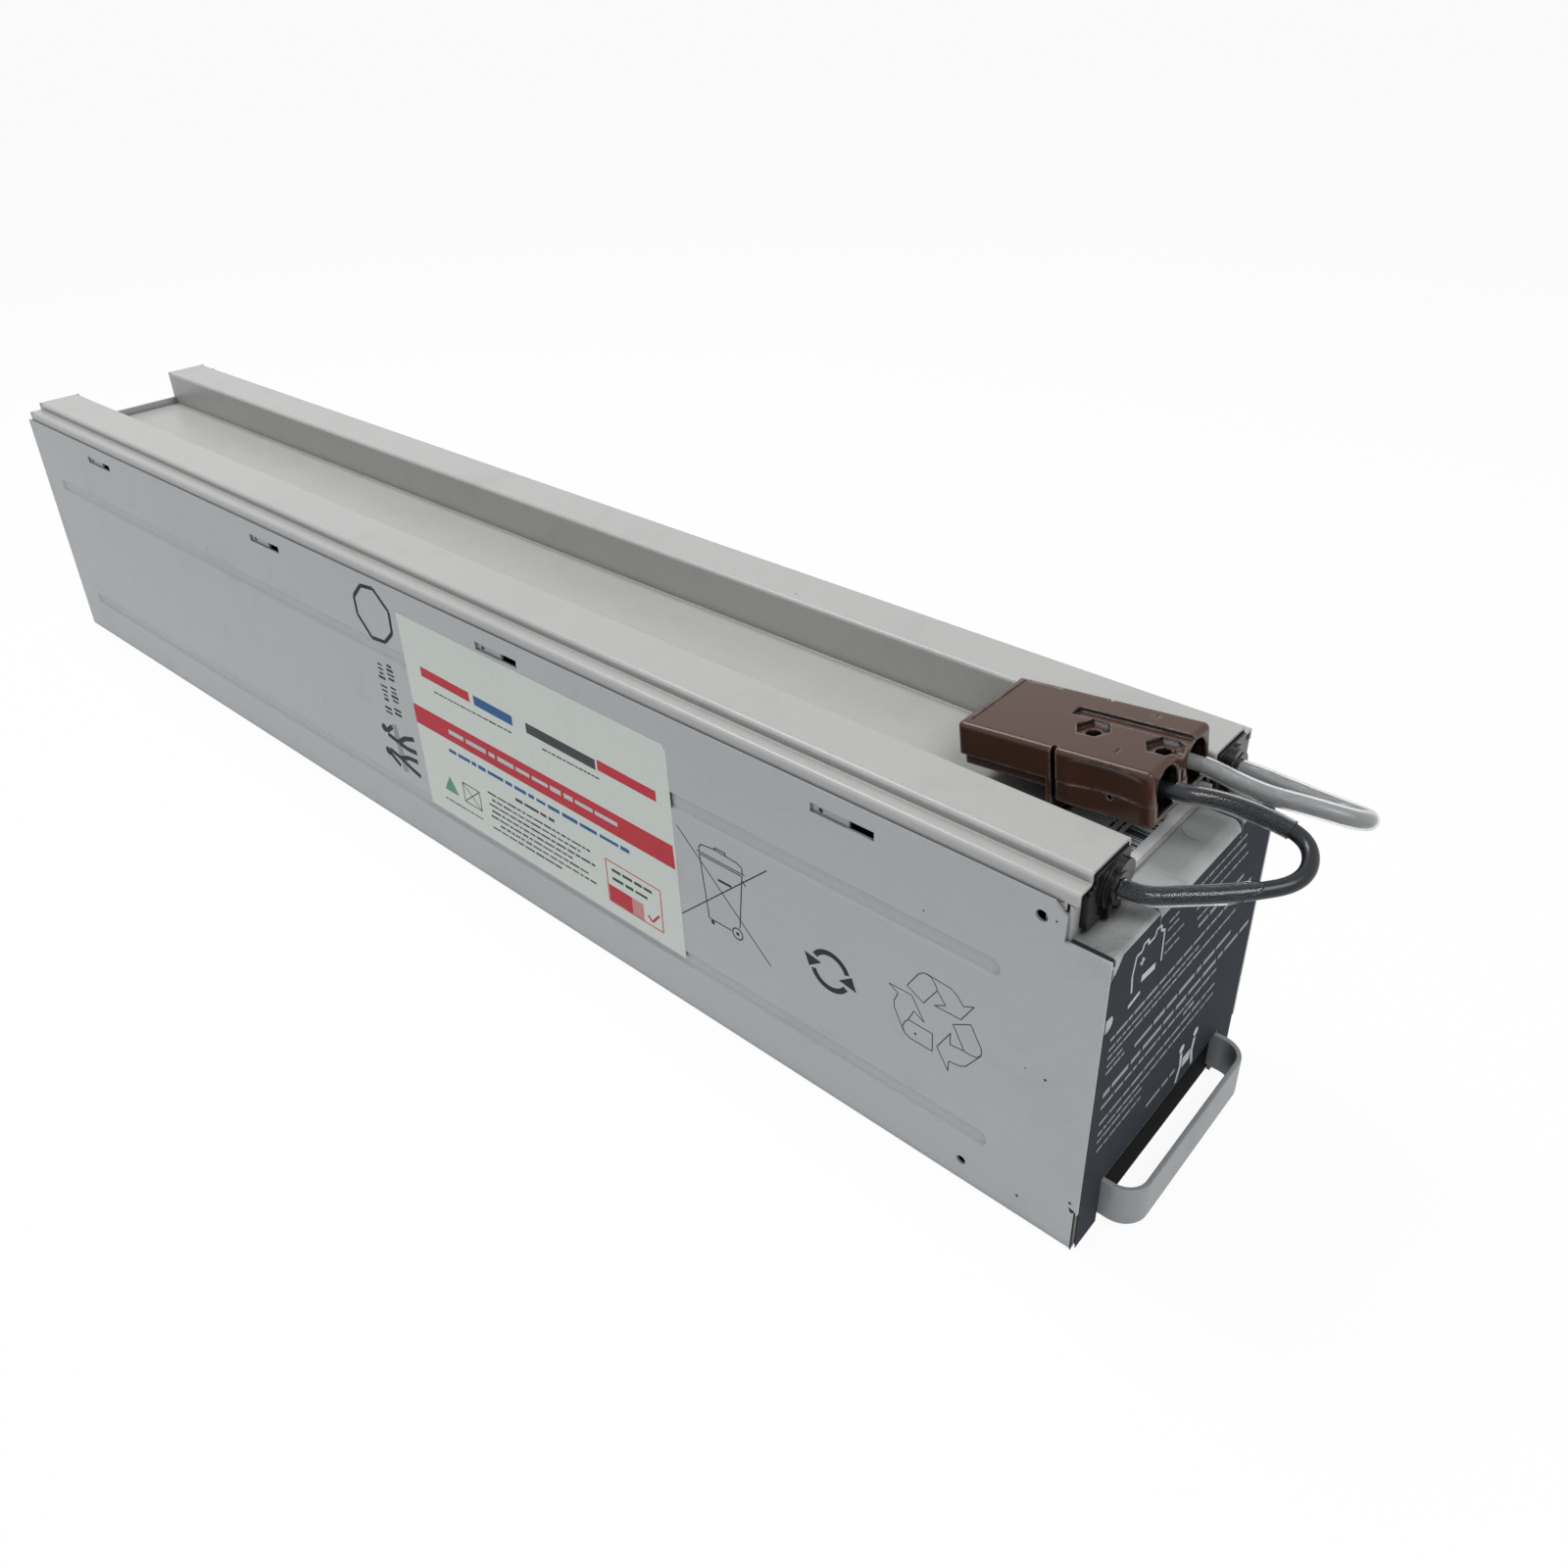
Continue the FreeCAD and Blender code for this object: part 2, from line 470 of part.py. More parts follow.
for name, y_low, y_high, z_high in (
        ("front_foam", "@sheet_thick + @handle_thick + @soft_gap", "@block_start - @soft_gap",
         "@shelf_height - @sheet_thick - 2 * @soft_gap"),
        ("rear_foam", "@block_start + @block_count * @block_length + @soft_gap",
         "@cover_rear - @soft_gap", block_top + " - 13")):
    foam = new_body(name)
    sk = new_sketch(foam, "XY_Plane", "@sheet_thick + @soft_gap")
    rectangle(sk, "-(%s - @soft_gap)" % wide_in, y_low, wide_in + " - @soft_gap", y_high)
    pad(foam, sk, "%s - @sheet_thick - @soft_gap" % z_high)


# ---- moulded grommets that close the rail mouths around the step wall's edge ----
def grommet(name, s):
    body = new_body(name)
    inner_x, outer_x = s + "(@rail_inner + @sheet_thick + 0.4)", s + "(@case_width / 2 - 4.6)"
    under_step = s + "(@rail_outer - @sheet_thick - 0.3)"
    front_y = "@shelf_depth - @sheet_thick"
    sk = new_sketch(body, "XZ_Plane", front_y + " - 2")
    polygon(sk, [(inner_x, "@shelf_height + 1.5"), (outer_x, "@shelf_height + 1.5"),
                 (outer_x, "@shoulder_top - @sheet_thick - 0.4"),
                 (under_step, "@shoulder_top - @sheet_thick - 0.4"),
                 (under_step, "@rail_top - @sheet_thick - 0.3"), (inner_x, "@rail_top - @sheet_thick - 0.3")])
    pad(body, sk, "2", True)
    rounded(body, "1.2", lambda m, d, n: abs(d.y) > 0.999)
    sk = new_sketch(body, "XZ_Plane", front_y)
    polygon(sk, [(s + "(@grommet_x - 6.4)", "@rail_top - @sheet_thick - 0.3"),
                 (s + "(@grommet_x - 6.4)", "@grommet_z - 5.8"), (s + "(@grommet_x - 4.4)", "@grommet_z - 7.3"),
                 (s + "(@grommet_x + 4.4)", "@grommet_z - 7.3"), (s + "(@grommet_x + 6.4)", "@grommet_z - 5.8"),
                 (s + "(@grommet_x + 6.4)", "@rail_top - @sheet_thick - 0.3")])
    pad(body, sk, "@sheet_thick", True)
    sk = new_sketch(body, "XZ_Plane", "@shelf_depth")
    rectangle(sk, s + "(@grommet_x - 7.8)", "@shelf_height + 1", s + "(@grommet_x + 7.6)",
              "@rail_top - @sheet_thick - 0.5")
    pad(body, sk, "1.7", True)
    # boss round the lead, a lobe above it and two ribs below
    for radius, back_off, aside, lift in (("4.6", "0", "+ 0", "+ 0"), ("4.4", "0.3", "- 2.6", "+ 2.4"),
                                          ("6.2", "1.6", "+ 0", "+ 0")):
        sk = new_sketch(body, "XZ_Plane", "@grommet_face + " + back_off)
        circle(sk, s + "(@grommet_x %s)" % aside, "@grommet_z " + lift, radius)
        pad(body, sk, "%s - 1.5 - @grommet_face - %s" % (front_y, back_off), True)
    for aside in ("- 3.4", "+ 1.6"):
        sk = new_sketch(body, "XZ_Plane", "@grommet_face + 1.1")
        rectangle(sk, s + "(@grommet_x %s)" % aside, "@shelf_height + 1.5",
                  s + "(@grommet_x %s + 1.8)" % aside, "@grommet_z - 2")
        pad(body, sk, "%s - 1 - @grommet_face - 1.1" % front_y, True)
    return body


grommet("left_grommet", "-")
grommet("right_grommet", "")

# ---- two-pole connector: two moulded half shells with crimped contacts, nose tilted up ----
slope = "@plug_tilt * 1 deg"


def plug_body(name):
    body = doc.addObject("PartDesign::Body", name)
    body.Label = name
    body.Placement = FreeCAD.Placement(Vector(0, 0, 0), FreeCAD.Rotation(Vector(-1, 0, 0), size("@plug_tilt")))
    body.setExpression("Placement.Base.x", full("@plug_x"))
    body.setExpression("Placement.Base.y", full("@plug_y + ") + front_shift)
    body.setExpression("Placement.Base.z", full("@plug_z"))
    body.setExpression("Placement.Rotation.Angle", full(slope))
    return body


poles = ("@pole_in", "@plug_width - @pole_in")


def plug_hollows(body):
    sk = new_sketch(body, "XZ_Plane")
    for pole in poles:
        circle(sk, pole, "@mouth_high", "@mouth_r")
    pocket(body, sk, "@mouth_depth")
    sk = new_sketch(body, "XZ_Plane")
    for pole in poles:
        rectangle(sk, pole + " - @mouth_half", "@mouth_low", pole + " + @mouth_half", "@mouth_high")
    pocket(body, sk, "@mouth_depth")
    sk = new_sketch(body, "XZ_Plane")
    for pole in poles:
        circle(sk, pole, "@pole_high", "@barrel_r")
    pocket(body, sk, "@barrel_end + 1")
    sk = new_sketch(body, "XZ_Plane")
    rectangle(sk, "@plug_width / 2 - 0.5", "@pole_high - 1.2", "@plug_width / 2 + 0.5", "@pole_high + 1.8")
    pocket(body, sk, "3")
    sk = new_sketch(body, "XZ_Plane", "@plug_length")
    for pole in poles:
        rectangle(sk, "%s - @socket_half" % pole, "@socket_low", "%s + @socket_half" % pole, "@socket_high")
    pocket(body, sk, "@plug_length - @barrel_end", True)
    sk = new_sketch(body, "XY_Plane")
    for a, b in (("-1", "2"), ("@plug_width - 2", "@plug_width + 1")):
        rectangle(sk, a, "@notch_y", b, "@notch_y + @notch_wide")
    for row in ("@hex_front", "@hex_rear"):
        circle(sk, "@plug_width / 2 - @hex_aside", row, "@screw_r")
    pocket(body, sk)


def grip(body, deep, outwards):
    """Fingertip hollow in a side: the cut of a wide upright drum whose top rim is rounded."""
    sk = new_sketch(body, "XZ_Plane", "@grip_y")
    axis, rim = "%s %s @grip_r" % (deep, outwards), "%s %s @grip_rim" % (deep, outwards)
    low, top = "-1", "@grip_top"
    corners = [Vector(size(a), size(b), 0) for a, b in (
        (rim, top + " + @grip_rim"), (axis, top + " + @grip_rim"), (axis, low), (deep, low), (deep, top))]
    for a, b in zip(corners, corners[1:]):
        sk.addGeometry(Part.LineSegment(a, b), False)
    middle = Part.Circle(Vector(size(rim), size(top), 0), Vector(0, 0, 1), size("@grip_rim"))
    from_side = outwards == "-"
    turn = (0, math.pi / 2) if from_side else (math.pi / 2, math.pi)
    arc = sk.addGeometry(Part.ArcOfCircle(middle, *turn), False)
    for i in range(3):
        sk.addConstraint(Sketcher.Constraint("Coincident", i, 2, i + 1, 1))
    sk.addConstraint(Sketcher.Constraint("Coincident", 3, 2, arc, 1 if from_side else 2))
    sk.addConstraint(Sketcher.Constraint("Tangent", arc, 2 if from_side else 1, 0, 1))
    sk.addConstraint(Sketcher.Constraint("Horizontal", 0))
    fix_point(sk, 2, 1, axis, low)
    fix_point(sk, 3, 1, deep, low)
    fix_point(sk, arc, 3, rim, top)
    sk.addConstraint(Sketcher.Constraint("Vertical", 1))
    sk.addConstraint(Sketcher.Constraint("Vertical", 3))
    sk.addGeometry(Part.LineSegment(corners[1], corners[2]), True)
    for end, other in ((1, 1), (2, 2)):
        sk.addConstraint(Sketcher.Constraint("Coincident", arc + 1, end, 1, other))
    feature = body.newObject("PartDesign::Groove", body.Name + "_grip")
    feature.Profile = sk
    feature.ReferenceAxis = (sk, ["Axis0"])
    feature.Angle = 360
    sk.Visibility = False
    return feature


def grips(body):
    grip(body, "@grip_deep", "-")
    grip(body, "@plug_width - @grip_deep", "+")


upper = plug_body("connector_upper_shell")
sk = new_sketch(upper, "XY_Plane", "@plug_split")
rectangle(sk, "0", "0", "@plug_width", "@plug_length")
pad(upper, sk, "@plug_height - @plug_split")
ph = sizes["plug_height"]
rounded(upper, "1.6", lambda m, d, n: near(m.z, ph) or abs(d.z) > 0.999)
grips(upper)
plug_hollows(upper)
sk = new_sketch(upper, "XZ_Plane")
polygon(sk, [("@plug_width / 2 - 2.2", "@plug_height + 1"), ("@plug_width / 2 - 2.2", "@plug_height - 1"),
             ("@plug_width / 2 - 0.8", "@plug_height - 2.6"), ("@plug_width / 2 + 0.8", "@plug_height - 2.6"),
             ("@plug_width / 2 + 2.2", "@plug_height - 1"), ("@plug_width / 2 + 2.2", "@plug_height + 1")])
pocket(upper, sk, "2.5")
sk = new_sketch(upper, "XY_Plane", "@plug_height")
rectangle(sk, "@plug_width / 2 + 2.9", "-1", "@plug_width / 2 + 7.6", "@hex_rear + 9.2")
pocket(upper, sk, "1.2")
sk = new_sketch(upper, "XY_Plane", "@plug_height")
for row in ("@hex_front", "@hex_rear"):
    polygon(sk, [("@plug_width / 2 - @hex_aside + @hex_r * cos(%d deg)" % (60 * k + 30),
                  "%s + @hex_r * sin(%d deg)" % (row, 60 * k + 30)) for k in range(6)])
pocket(upper, sk, "@hex_depth")
# polarity marks: a plus over one pole and a minus over the other
sk = new_sketch(upper, "XY_Plane", "@plug_height")
mark_y, plus_x, minus_x = "13.5", poles[1] + " + 4.2", poles[0] + " - 1.2"
arms = [(1.5, 0.25), (0.25, 0.25), (0.25, 1.5), (-0.25, 1.5), (-0.25, 0.25), (-1.5, 0.25),
        (-1.5, -0.25), (-0.25, -0.25), (-0.25, -1.5), (0.25, -1.5), (0.25, -0.25), (1.5, -0.25)]
polygon(sk, [("%s + %s" % (plus_x, a), "%s + %s" % (mark_y, b)) for a, b in arms])
rectangle(sk, minus_x + " - 1.5", mark_y + " - 0.25", minus_x + " + 1.5", mark_y + " + 0.25")
pocket(upper, sk, "0.25")
sk = new_sketch(upper, "XY_Plane", "@plug_height - 0.2")
polygon(sk, [("3.3", "@plug_length - 2.9"), ("@plug_width - 2.4", "@plug_length - 2.9"),
             ("@plug_width - 2.4", "@plug_length - 15.8"), ("@plug_width - 1.9", "@plug_length - 15.8"),
             ("@plug_width - 1.9", "@plug_length - 2.3"), ("3.3", "@plug_length - 2.3")])
pad(upper, sk, "0.5")

foot_front = "(@notch_y + @notch_wide)"
foot_rear = "(@notch_y + @notch_wide + @foot_thick)"


def on_floor(y):
    return "(@floor_top - @plug_z + %s * sin(%s)) / cos(%s)" % (y, slope, slope)


lower = plug_body("connector_lower_shell")
sk = new_sketch(lower, "XY_Plane")
rectangle(sk, "0.2", "0", "@plug_width - 0.2", foot_rear)
pad(lower, sk, "@plug_split")
rounded(lower, "1.6", lambda m, d, n: m.y < 20 and (near(m.z, 0) or abs(d.z) > 0.999))
sk = new_sketch(lower, "XY_Plane", "@tray_low")
rectangle(sk, "@tray_in", foot_rear + " - 1", "@plug_width - @tray_in", "@plug_length - 1")
pad(lower, sk, "@plug_split - @tray_low")
rounded(lower, "1.2", lambda m, d, n: m.y > size("@plug_length - 2") and abs(d.z) > 0.999)
# the foot's lower edge follows the channel floor
sk = new_sketch(lower, "YZ_Plane", "0.2")
polygon(sk, [(foot_front, on_floor(foot_front)), (foot_rear, on_floor(foot_rear)),
             (foot_rear, "@plug_split - 1"), (foot_front, "@plug_split - 1")])
pad(lower, sk, "@plug_width - 0.4")
grips(lower)
plug_hollows(lower)
sk = new_sketch(lower, "YZ_Plane")
circle(sk, "12.6", "5.8", "0.7")
pocket(lower, sk, "3", True)

contacts = plug_body("connector_contacts")
sk = new_sketch(contacts, "XZ_Plane", "@barrel_face")
for pole in poles:
    circle(sk, pole, "@pole_high", "@barrel_r")
pad(contacts, sk, "@barrel_end - @barrel_face", True)
sk = new_sketch(contacts, "XZ_Plane", "@barrel_end - 1")
for pole in poles:
    rectangle(sk, pole + " - 2.4", "@pole_high - 2.2", pole + " + 2.4", "@pole_high - 0.8")
pad(contacts, sk, "@plug_length - @barrel_end - 8", True)


# ---- printed papers ----
label = new_body("front_label")
sk = new_sketch(label, "XZ_Plane", "-@paper")
left_edge, right_edge = "-(@case_width / 2 - 3.4)", "@case_width / 2 - 1.9"
cut = "@handle_half + @notch_clear + 0.4"
roof = "@handle_high + @notch_clear + 0.6"
label_in, label_top = "@rail_inner - 0.5", "@floor_top - @sheet_thick - @flange_bend - 0.1"
polygon(sk, [(left_edge, "0.6"), ("-(%s)" % cut, "0.6"), ("-(%s)" % cut, roof), (cut, roof), (cut, "0.6"),
             (right_edge, "0.6"), (right_edge, "@shelf_height - 1.2"), (gap_out, "@shelf_height - 1.2"),
             (gap_out, "@shelf_height - 5.4"), (label_in, "@shelf_height - 5.4"), (label_in, label_top),
             ("-(%s)" % label_in, label_top), ("-(%s)" % label_in, "@shelf_height - 5.4"),
             ("-(%s)" % gap_out, "@shelf_height - 5.4"), ("-(%s)" % gap_out, "@shelf_height - 1.2"),
             (left_edge + " + 3", "@shelf_height - 1.2"),
             (left_edge, "@shelf_height - 5")])
pad(label, sk, "@paper", True)
sk = new_sketch(label, "XZ_Plane", "-1")
circle(sk, left_edge + " - 0.6", "82", "2.6")
pocket(label, sk, "2")

sticker = new_body("side_label")
sk = new_sketch(sticker, "YZ_Plane", "-@case_width / 2 - @paper")
polygon(sk, [("287.4", "105"), ("150.4", "103.9"), ("148.5", "101.6"), ("146.3", "21.7"), ("286.4", "22.2")])
pad(sticker, sk, "@paper")

note = new_body("floor_sticker")
sk = new_sketch(note, "XY_Plane", "@floor_top")
note_rear = "@plug_y + %s * cos(%s) + (%s) * sin(%s) - 1" % (foot_front, slope, on_floor(foot_front), slope)
rectangle(sk, "-(@rail_inner - 1.5)", "@floor_front + 1", "@rail_inner - 1.5", note_rear)
pad(note, sk, "@paper")


# ---- cords: straight runs joined by tangent arcs ----
def route(points):
    """Wire through the given points, every corner rounded to 0.45 of its shorter run."""
    edges = []
    radii = []
    here = points[0]
    for a, b, c in zip(points, points[1:], points[2:]):
        into, away = (b - a), (c - b)
        cut_back = 0.45 * min(into.Length, away.Length)
        turn_angle = into.getAngle(away)
        into.normalize()
        away.normalize()
        start, end = b - into * cut_back, b + away * cut_back
        radius = cut_back / math.tan(turn_angle / 2)
        inward = (away - into).normalize()
        middle = b + inward * (radius / math.cos(turn_angle / 2) - radius)
        edges.append(Part.LineSegment(here, start).toShape())
        edges.append(Part.Arc(start, middle, end).toShape())
        radii.append(round(radius, 1))
        here = end
    edges.append(Part.LineSegment(here, points[-1]).toShape())
    return edges, radii


def stretch(edges, start, end):
    """The part of a route between two distances along it."""
    kept = []
    walked = 0
    for edge in edges:
        low, high = max(start - walked, 0), min(end - walked, edge.Length)
        if high - low > 0.01:
            first, last = edge.getParameterByLength(low), edge.getParameterByLength(high)
            kept.append(edge.Curve.toShape(first, last))
        walked += edge.Length
    return kept


def tube(name, edges, outer, inner=0.0):
    spine = Part.Wire(edges)
    start = edges[0]
    place, way = start.valueAt(start.FirstParameter), start.tangentAt(start.FirstParameter)
    solid = spine.makePipe(Part.Face(Part.Wire(Part.Circle(place, way, outer / 2).toShape())))
    if inner:
        solid = solid.cut(spine.makePipe(Part.Face(Part.Wire(Part.Circle(place, way, inner / 2).toShape()))))
    feature = doc.addObject("Part::Feature", name)
    feature.Label = name
    feature.Shape = solid.Solids[0] if len(solid.Solids) == 1 else solid
    length = sum(edge.Length for edge in edges)
    section = math.pi * (outer ** 2 - inner ** 2) / 4
    print(name, "length", round(length, 1), "volume share", round(feature.Shape.Volume / section / length, 3))
    feature.setExpression("Placement.Base.y", front_shift)


def plug_point(x, y, z):
    """Point given in the connector's frame."""
    a = math.radians(size("@plug_tilt"))
    return Vector(size("@plug_x") + x, size("@plug_y") + y * math.cos(a) + z * math.sin(a),
                  size("@plug_z") - y * math.sin(a) + z * math.cos(a))


exit_x, exit_y, exit_z = size("@grommet_x"), size("@grommet_face"), size("@grommet_z")
high, face_y = size("@pole_high"), size("@barrel_face")
left_end = [plug_point(size(poles[0]), face_y - 7, high), plug_point(size(poles[0]), face_y, high)]
right_end = [plug_point(size(poles[1]), face_y - 6.5, high), plug_point(size(poles[1]), face_y, high)]
left_points = [Vector(-exit_x, exit_y, exit_z)] + [Vector(*p) for p in (
    (-exit_x, 1.5, exit_z), (-27.5, -4.2, 112.4), (-17.5, -16.6, 113.3), (-6.5, -27.3, 115.4),
    (5.6, -23.2, 118.6), (4.8, -10, 121.2), (2.2, 1, 122.4))] + left_end
right_points = [Vector(exit_x, exit_y, exit_z)] + [Vector(*p) for p in (
    (exit_x, -0.2, exit_z), (33.3, -10.5, 112.6), (33.4, -21.5, 112.3), (30.2, -30, 114.2),
    (20.2, -29, 119.2), (16.4, -18.5, 120.8), (14.5, -8.5, 120.8), (14.2, -0.5, 121.3))] + right_end
left_edges, left_radii = route(left_points)
right_edges, right_radii = route(right_points)
print("left cord radii", left_radii, "right cord radii", right_radii)
left_length = sum(edge.Length for edge in left_edges)
right_length = sum(edge.Length for edge in right_edges)
cord, sleeve = size("@cord_dia"), size("@sleeve_dia")
tube("left_cable", left_edges, cord)
tube("right_cable", right_edges, cord)
tube("left_sleeve", stretch(left_edges, 0, 33), sleeve, cord)
tube("left_sleeve_end", stretch(left_edges, 60, left_length - 6), sleeve, cord)
tube("right_sleeve", stretch(right_edges, 0, right_length - 6), sleeve, cord)

doc.recompute()
for item in doc.Objects:
    if "Invalid" in item.State or "Error" in item.State:
        raise RuntimeError("%s failed: %s" % (item.Name, item.State))
pieces = [item for item in doc.Objects if item.TypeId in ("PartDesign::Body", "Part::Feature")]
for item in pieces:
    if item.Shape.isNull() or not item.Shape.isValid():
        raise RuntimeError(item.Label + " has no valid shape")
for item in pieces:
    item.Shape.exportStep("parts/%s.step" % item.Label)
    print(item.Label, len(item.Shape.Solids), round(item.Shape.Volume, 1))
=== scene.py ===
import math
import random
import bmesh
import bpy
from mathutils import Matrix, Vector


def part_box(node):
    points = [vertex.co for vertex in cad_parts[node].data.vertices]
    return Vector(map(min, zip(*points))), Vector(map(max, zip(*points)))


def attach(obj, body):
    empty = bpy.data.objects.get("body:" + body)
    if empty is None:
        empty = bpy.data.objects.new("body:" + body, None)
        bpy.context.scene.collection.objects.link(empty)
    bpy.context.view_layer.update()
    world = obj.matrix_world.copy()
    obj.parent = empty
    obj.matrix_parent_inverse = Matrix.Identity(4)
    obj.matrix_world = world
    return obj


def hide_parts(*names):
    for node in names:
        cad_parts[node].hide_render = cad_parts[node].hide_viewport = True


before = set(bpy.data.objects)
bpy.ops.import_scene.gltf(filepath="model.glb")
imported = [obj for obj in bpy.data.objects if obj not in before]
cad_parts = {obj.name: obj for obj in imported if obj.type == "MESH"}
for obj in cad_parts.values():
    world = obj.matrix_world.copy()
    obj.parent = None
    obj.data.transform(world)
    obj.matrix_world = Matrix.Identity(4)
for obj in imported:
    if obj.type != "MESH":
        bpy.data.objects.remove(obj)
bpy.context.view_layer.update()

mm = 0.001
frontY = -0.2945  # outer face of the front wall in the row frame


# metres in the row frame from millimetres measured off the front wall
def at(x, y, z):
    return Vector((x * mm, y * mm + frontY, z * mm))


# the camera stands close to the front left corner and looks back along the cartridge
cameraSpec = {
    "location": (-0.2664, -0.3887, 0.3104),
    "angles": (60.229, 1.09, -49.176),
    "lens": 29.4,
    "sensor": 36,
    "shift": (-0.0042, -0.0656),
    "clipStart": 0.01,
}


def makeCamera(spec):
    data = bpy.data.cameras.new("mainCamera")
    data.lens = spec["lens"]
    data.sensor_width = spec["sensor"]
    data.shift_x, data.shift_y = spec["shift"]
    data.clip_start = spec["clipStart"]
    camera = bpy.data.objects.new("mainCamera", data)
    camera.location = spec["location"]
    camera.rotation_euler = [math.radians(angle) for angle in spec["angles"]]
    bpy.context.scene.collection.objects.link(camera)
    bpy.context.scene.camera = camera


makeCamera(cameraSpec)
bpy.context.scene.view_settings.view_transform = "Standard"
print("camera set")

# leads: splines on the same route points as the part's tubes, in millimetres
leadSpec = {
    "diameter": 4.2,
    "order": 3,
    "stepsPerPoint": 16,
    "roundness": 8,
    "left": [(-33.6, 6.8, 113), (-33.6, 1.5, 113), (-27.5, -4.2, 112.4), (-17.5, -16.6, 113.3),
             (-6.5, -27.3, 115.4), (5.6, -23.2, 118.6), (4.8, -10, 121.2), (2.2, 1, 122.4),
             (-2.6, 8.7593, 123.186), (-2.6, 15.7142, 122.394)],
    "right": [(33.6, 6.8, 113), (33.6, -0.2, 113), (33.3, -10.5, 112.6), (33.4, -21.5, 112.3),
              (30.2, -30, 114.2), (20.2, -29, 119.2), (16.4, -18.5, 120.8), (14.5, -8.5, 120.8),
              (14.2, -0.5, 121.3), (14, 9.256, 123.13), (14, 15.7142, 122.394)],
}
# clear sleeves over them, each along a share of its lead; the first one is cut on a slant
sleeveSpec = {
    "diameter": 5.3,
    "wall": 0.4,
    "leftSpan": (0.0, 0.36),
    "leftEndSpan": (0.63, 0.94),
    "rightSpan": (0.0, 0.935),
    "slant": {"place": (-18.4, -15.6, 113.4), "normal": (0.62, -0.2, -1.0)},
}
wholeLead = (0.0, 1.0)
mergeDistance = 1e-6
cutDistance = 1e-7


def makeSpline(name, points, diameter, span=wholeLead):
    curve = bpy.data.curves.new(name, "CURVE")
    curve.dimensions = "3D"
    spline = curve.splines.new("NURBS")
    spline.points.add(len(points) - 1)
    for point, place in zip(spline.points, points):
        point.co = (*at(*place), 1)
        point.radius = diameter * mm / 2
    spline.order_u = leadSpec["order"]
    spline.use_endpoint_u = True
    spline.resolution_u = leadSpec["stepsPerPoint"]
    curve.bevel_depth = 1.0  # the points' own radius gives the size
    curve.bevel_resolution = leadSpec["roundness"]
    curve.bevel_factor_mapping_start = "SPLINE"
    curve.bevel_factor_mapping_end = "SPLINE"
    curve.bevel_factor_start, curve.bevel_factor_end = span
    curve.use_fill_caps = span == wholeLead
    piece = bpy.data.objects.new(name, curve)
    bpy.context.scene.collection.objects.link(piece)
    return piece


# a finished mesh becomes a piece that rides on the one body
def placeMesh(name, built):
    mesh = bpy.data.meshes.new(name)
    built.to_mesh(mesh)
    built.free()
    piece = bpy.data.objects.new(name, mesh)
    bpy.context.scene.collection.objects.link(piece)
    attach(piece, "root")
    return piece


# an open thin tube round part of a lead, cut square or on a slant
def makeSleeve(name, points, span, slant=None):
    guide = makeSpline(name + "Guide", points, sleeveSpec["diameter"], span)
    bpy.context.view_layer.update()
    tube = bpy.data.meshes.new_from_object(guide.evaluated_get(bpy.context.evaluated_depsgraph_get()))
    bpy.data.objects.remove(guide)
    built = bmesh.new()
    built.from_mesh(tube)
    bpy.data.meshes.remove(tube)
    bmesh.ops.remove_doubles(built, verts=built.verts, dist=mergeDistance)
    if slant:
        everything = built.verts[:] + built.edges[:] + built.faces[:]
        bmesh.ops.bisect_plane(built, geom=everything, dist=cutDistance,
                               plane_co=at(*slant["place"]), plane_no=Vector(slant["normal"]),
                               clear_outer=True)
    bmesh.ops.recalc_face_normals(built, faces=built.faces)
    for face in built.faces:
        face.smooth = True
    piece = placeMesh(name, built)
    wall = piece.modifiers.new("wall", "SOLIDIFY")
    wall.thickness = sleeveSpec["wall"] * mm
    wall.offset = -1
    return piece


leftLead = makeSpline("left_lead", leadSpec["left"], leadSpec["diameter"])
rightLead = makeSpline("right_lead", leadSpec["right"], leadSpec["diameter"])
for piece in (leftLead, rightLead):
    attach(piece, "root")
leftSleeve = makeSleeve("left_clear_sleeve", leadSpec["left"], sleeveSpec["leftSpan"], sleeveSpec["slant"])
leftSleeveEnd = makeSleeve("left_clear_sleeve_end", leadSpec["left"], sleeveSpec["leftEndSpan"])
rightSleeve = makeSleeve("right_clear_sleeve", leadSpec["right"], sleeveSpec["rightSpan"])
for piece, node in ((leftLead, "left_cable"), (rightLead, "right_cable"), (leftSleeve, "left_sleeve"),
                    (leftSleeveEnd, "left_sleeve_end"), (rightSleeve, "right_sleeve")):
    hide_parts(node)
print("leads laid")


# a shader node; each setting goes to the input of that name, or else to the node itself
def addNode(tree, kind, place, **settings):
    node = tree.nodes.new(kind)
    node.location = place
    for key, value in settings.items():
        if key in node.inputs:
            node.inputs[key].default_value = value
        else:
            setattr(node, key, value)
    return node


# a math node; each value is a number or an output to link
def addMath(tree, operation, place, *values, clamp=False):
    node = addNode(tree, "ShaderNodeMath", place, operation=operation, use_clamp=clamp)
    for socket, value in zip(node.inputs, values):
        if isinstance(value, (int, float)):
            socket.default_value = value
        else:
            tree.links.new(value, socket)
    return node.outputs[0]


# a Mix node's colour sockets share their names with its other ones, so they go by number
mixSockets = {"factor": 0, "first": 6, "second": 7, "result": 2}


def addMix(tree, place, **values):
    node = addNode(tree, "ShaderNodeMix", place, data_type="RGBA")
    for key, value in values.items():
        socket = node.inputs[mixSockets[key]]
        if isinstance(value, bpy.types.NodeSocket):
            tree.links.new(value, socket)
        else:
            socket.default_value = value
    return node.outputs[mixSockets["result"]]


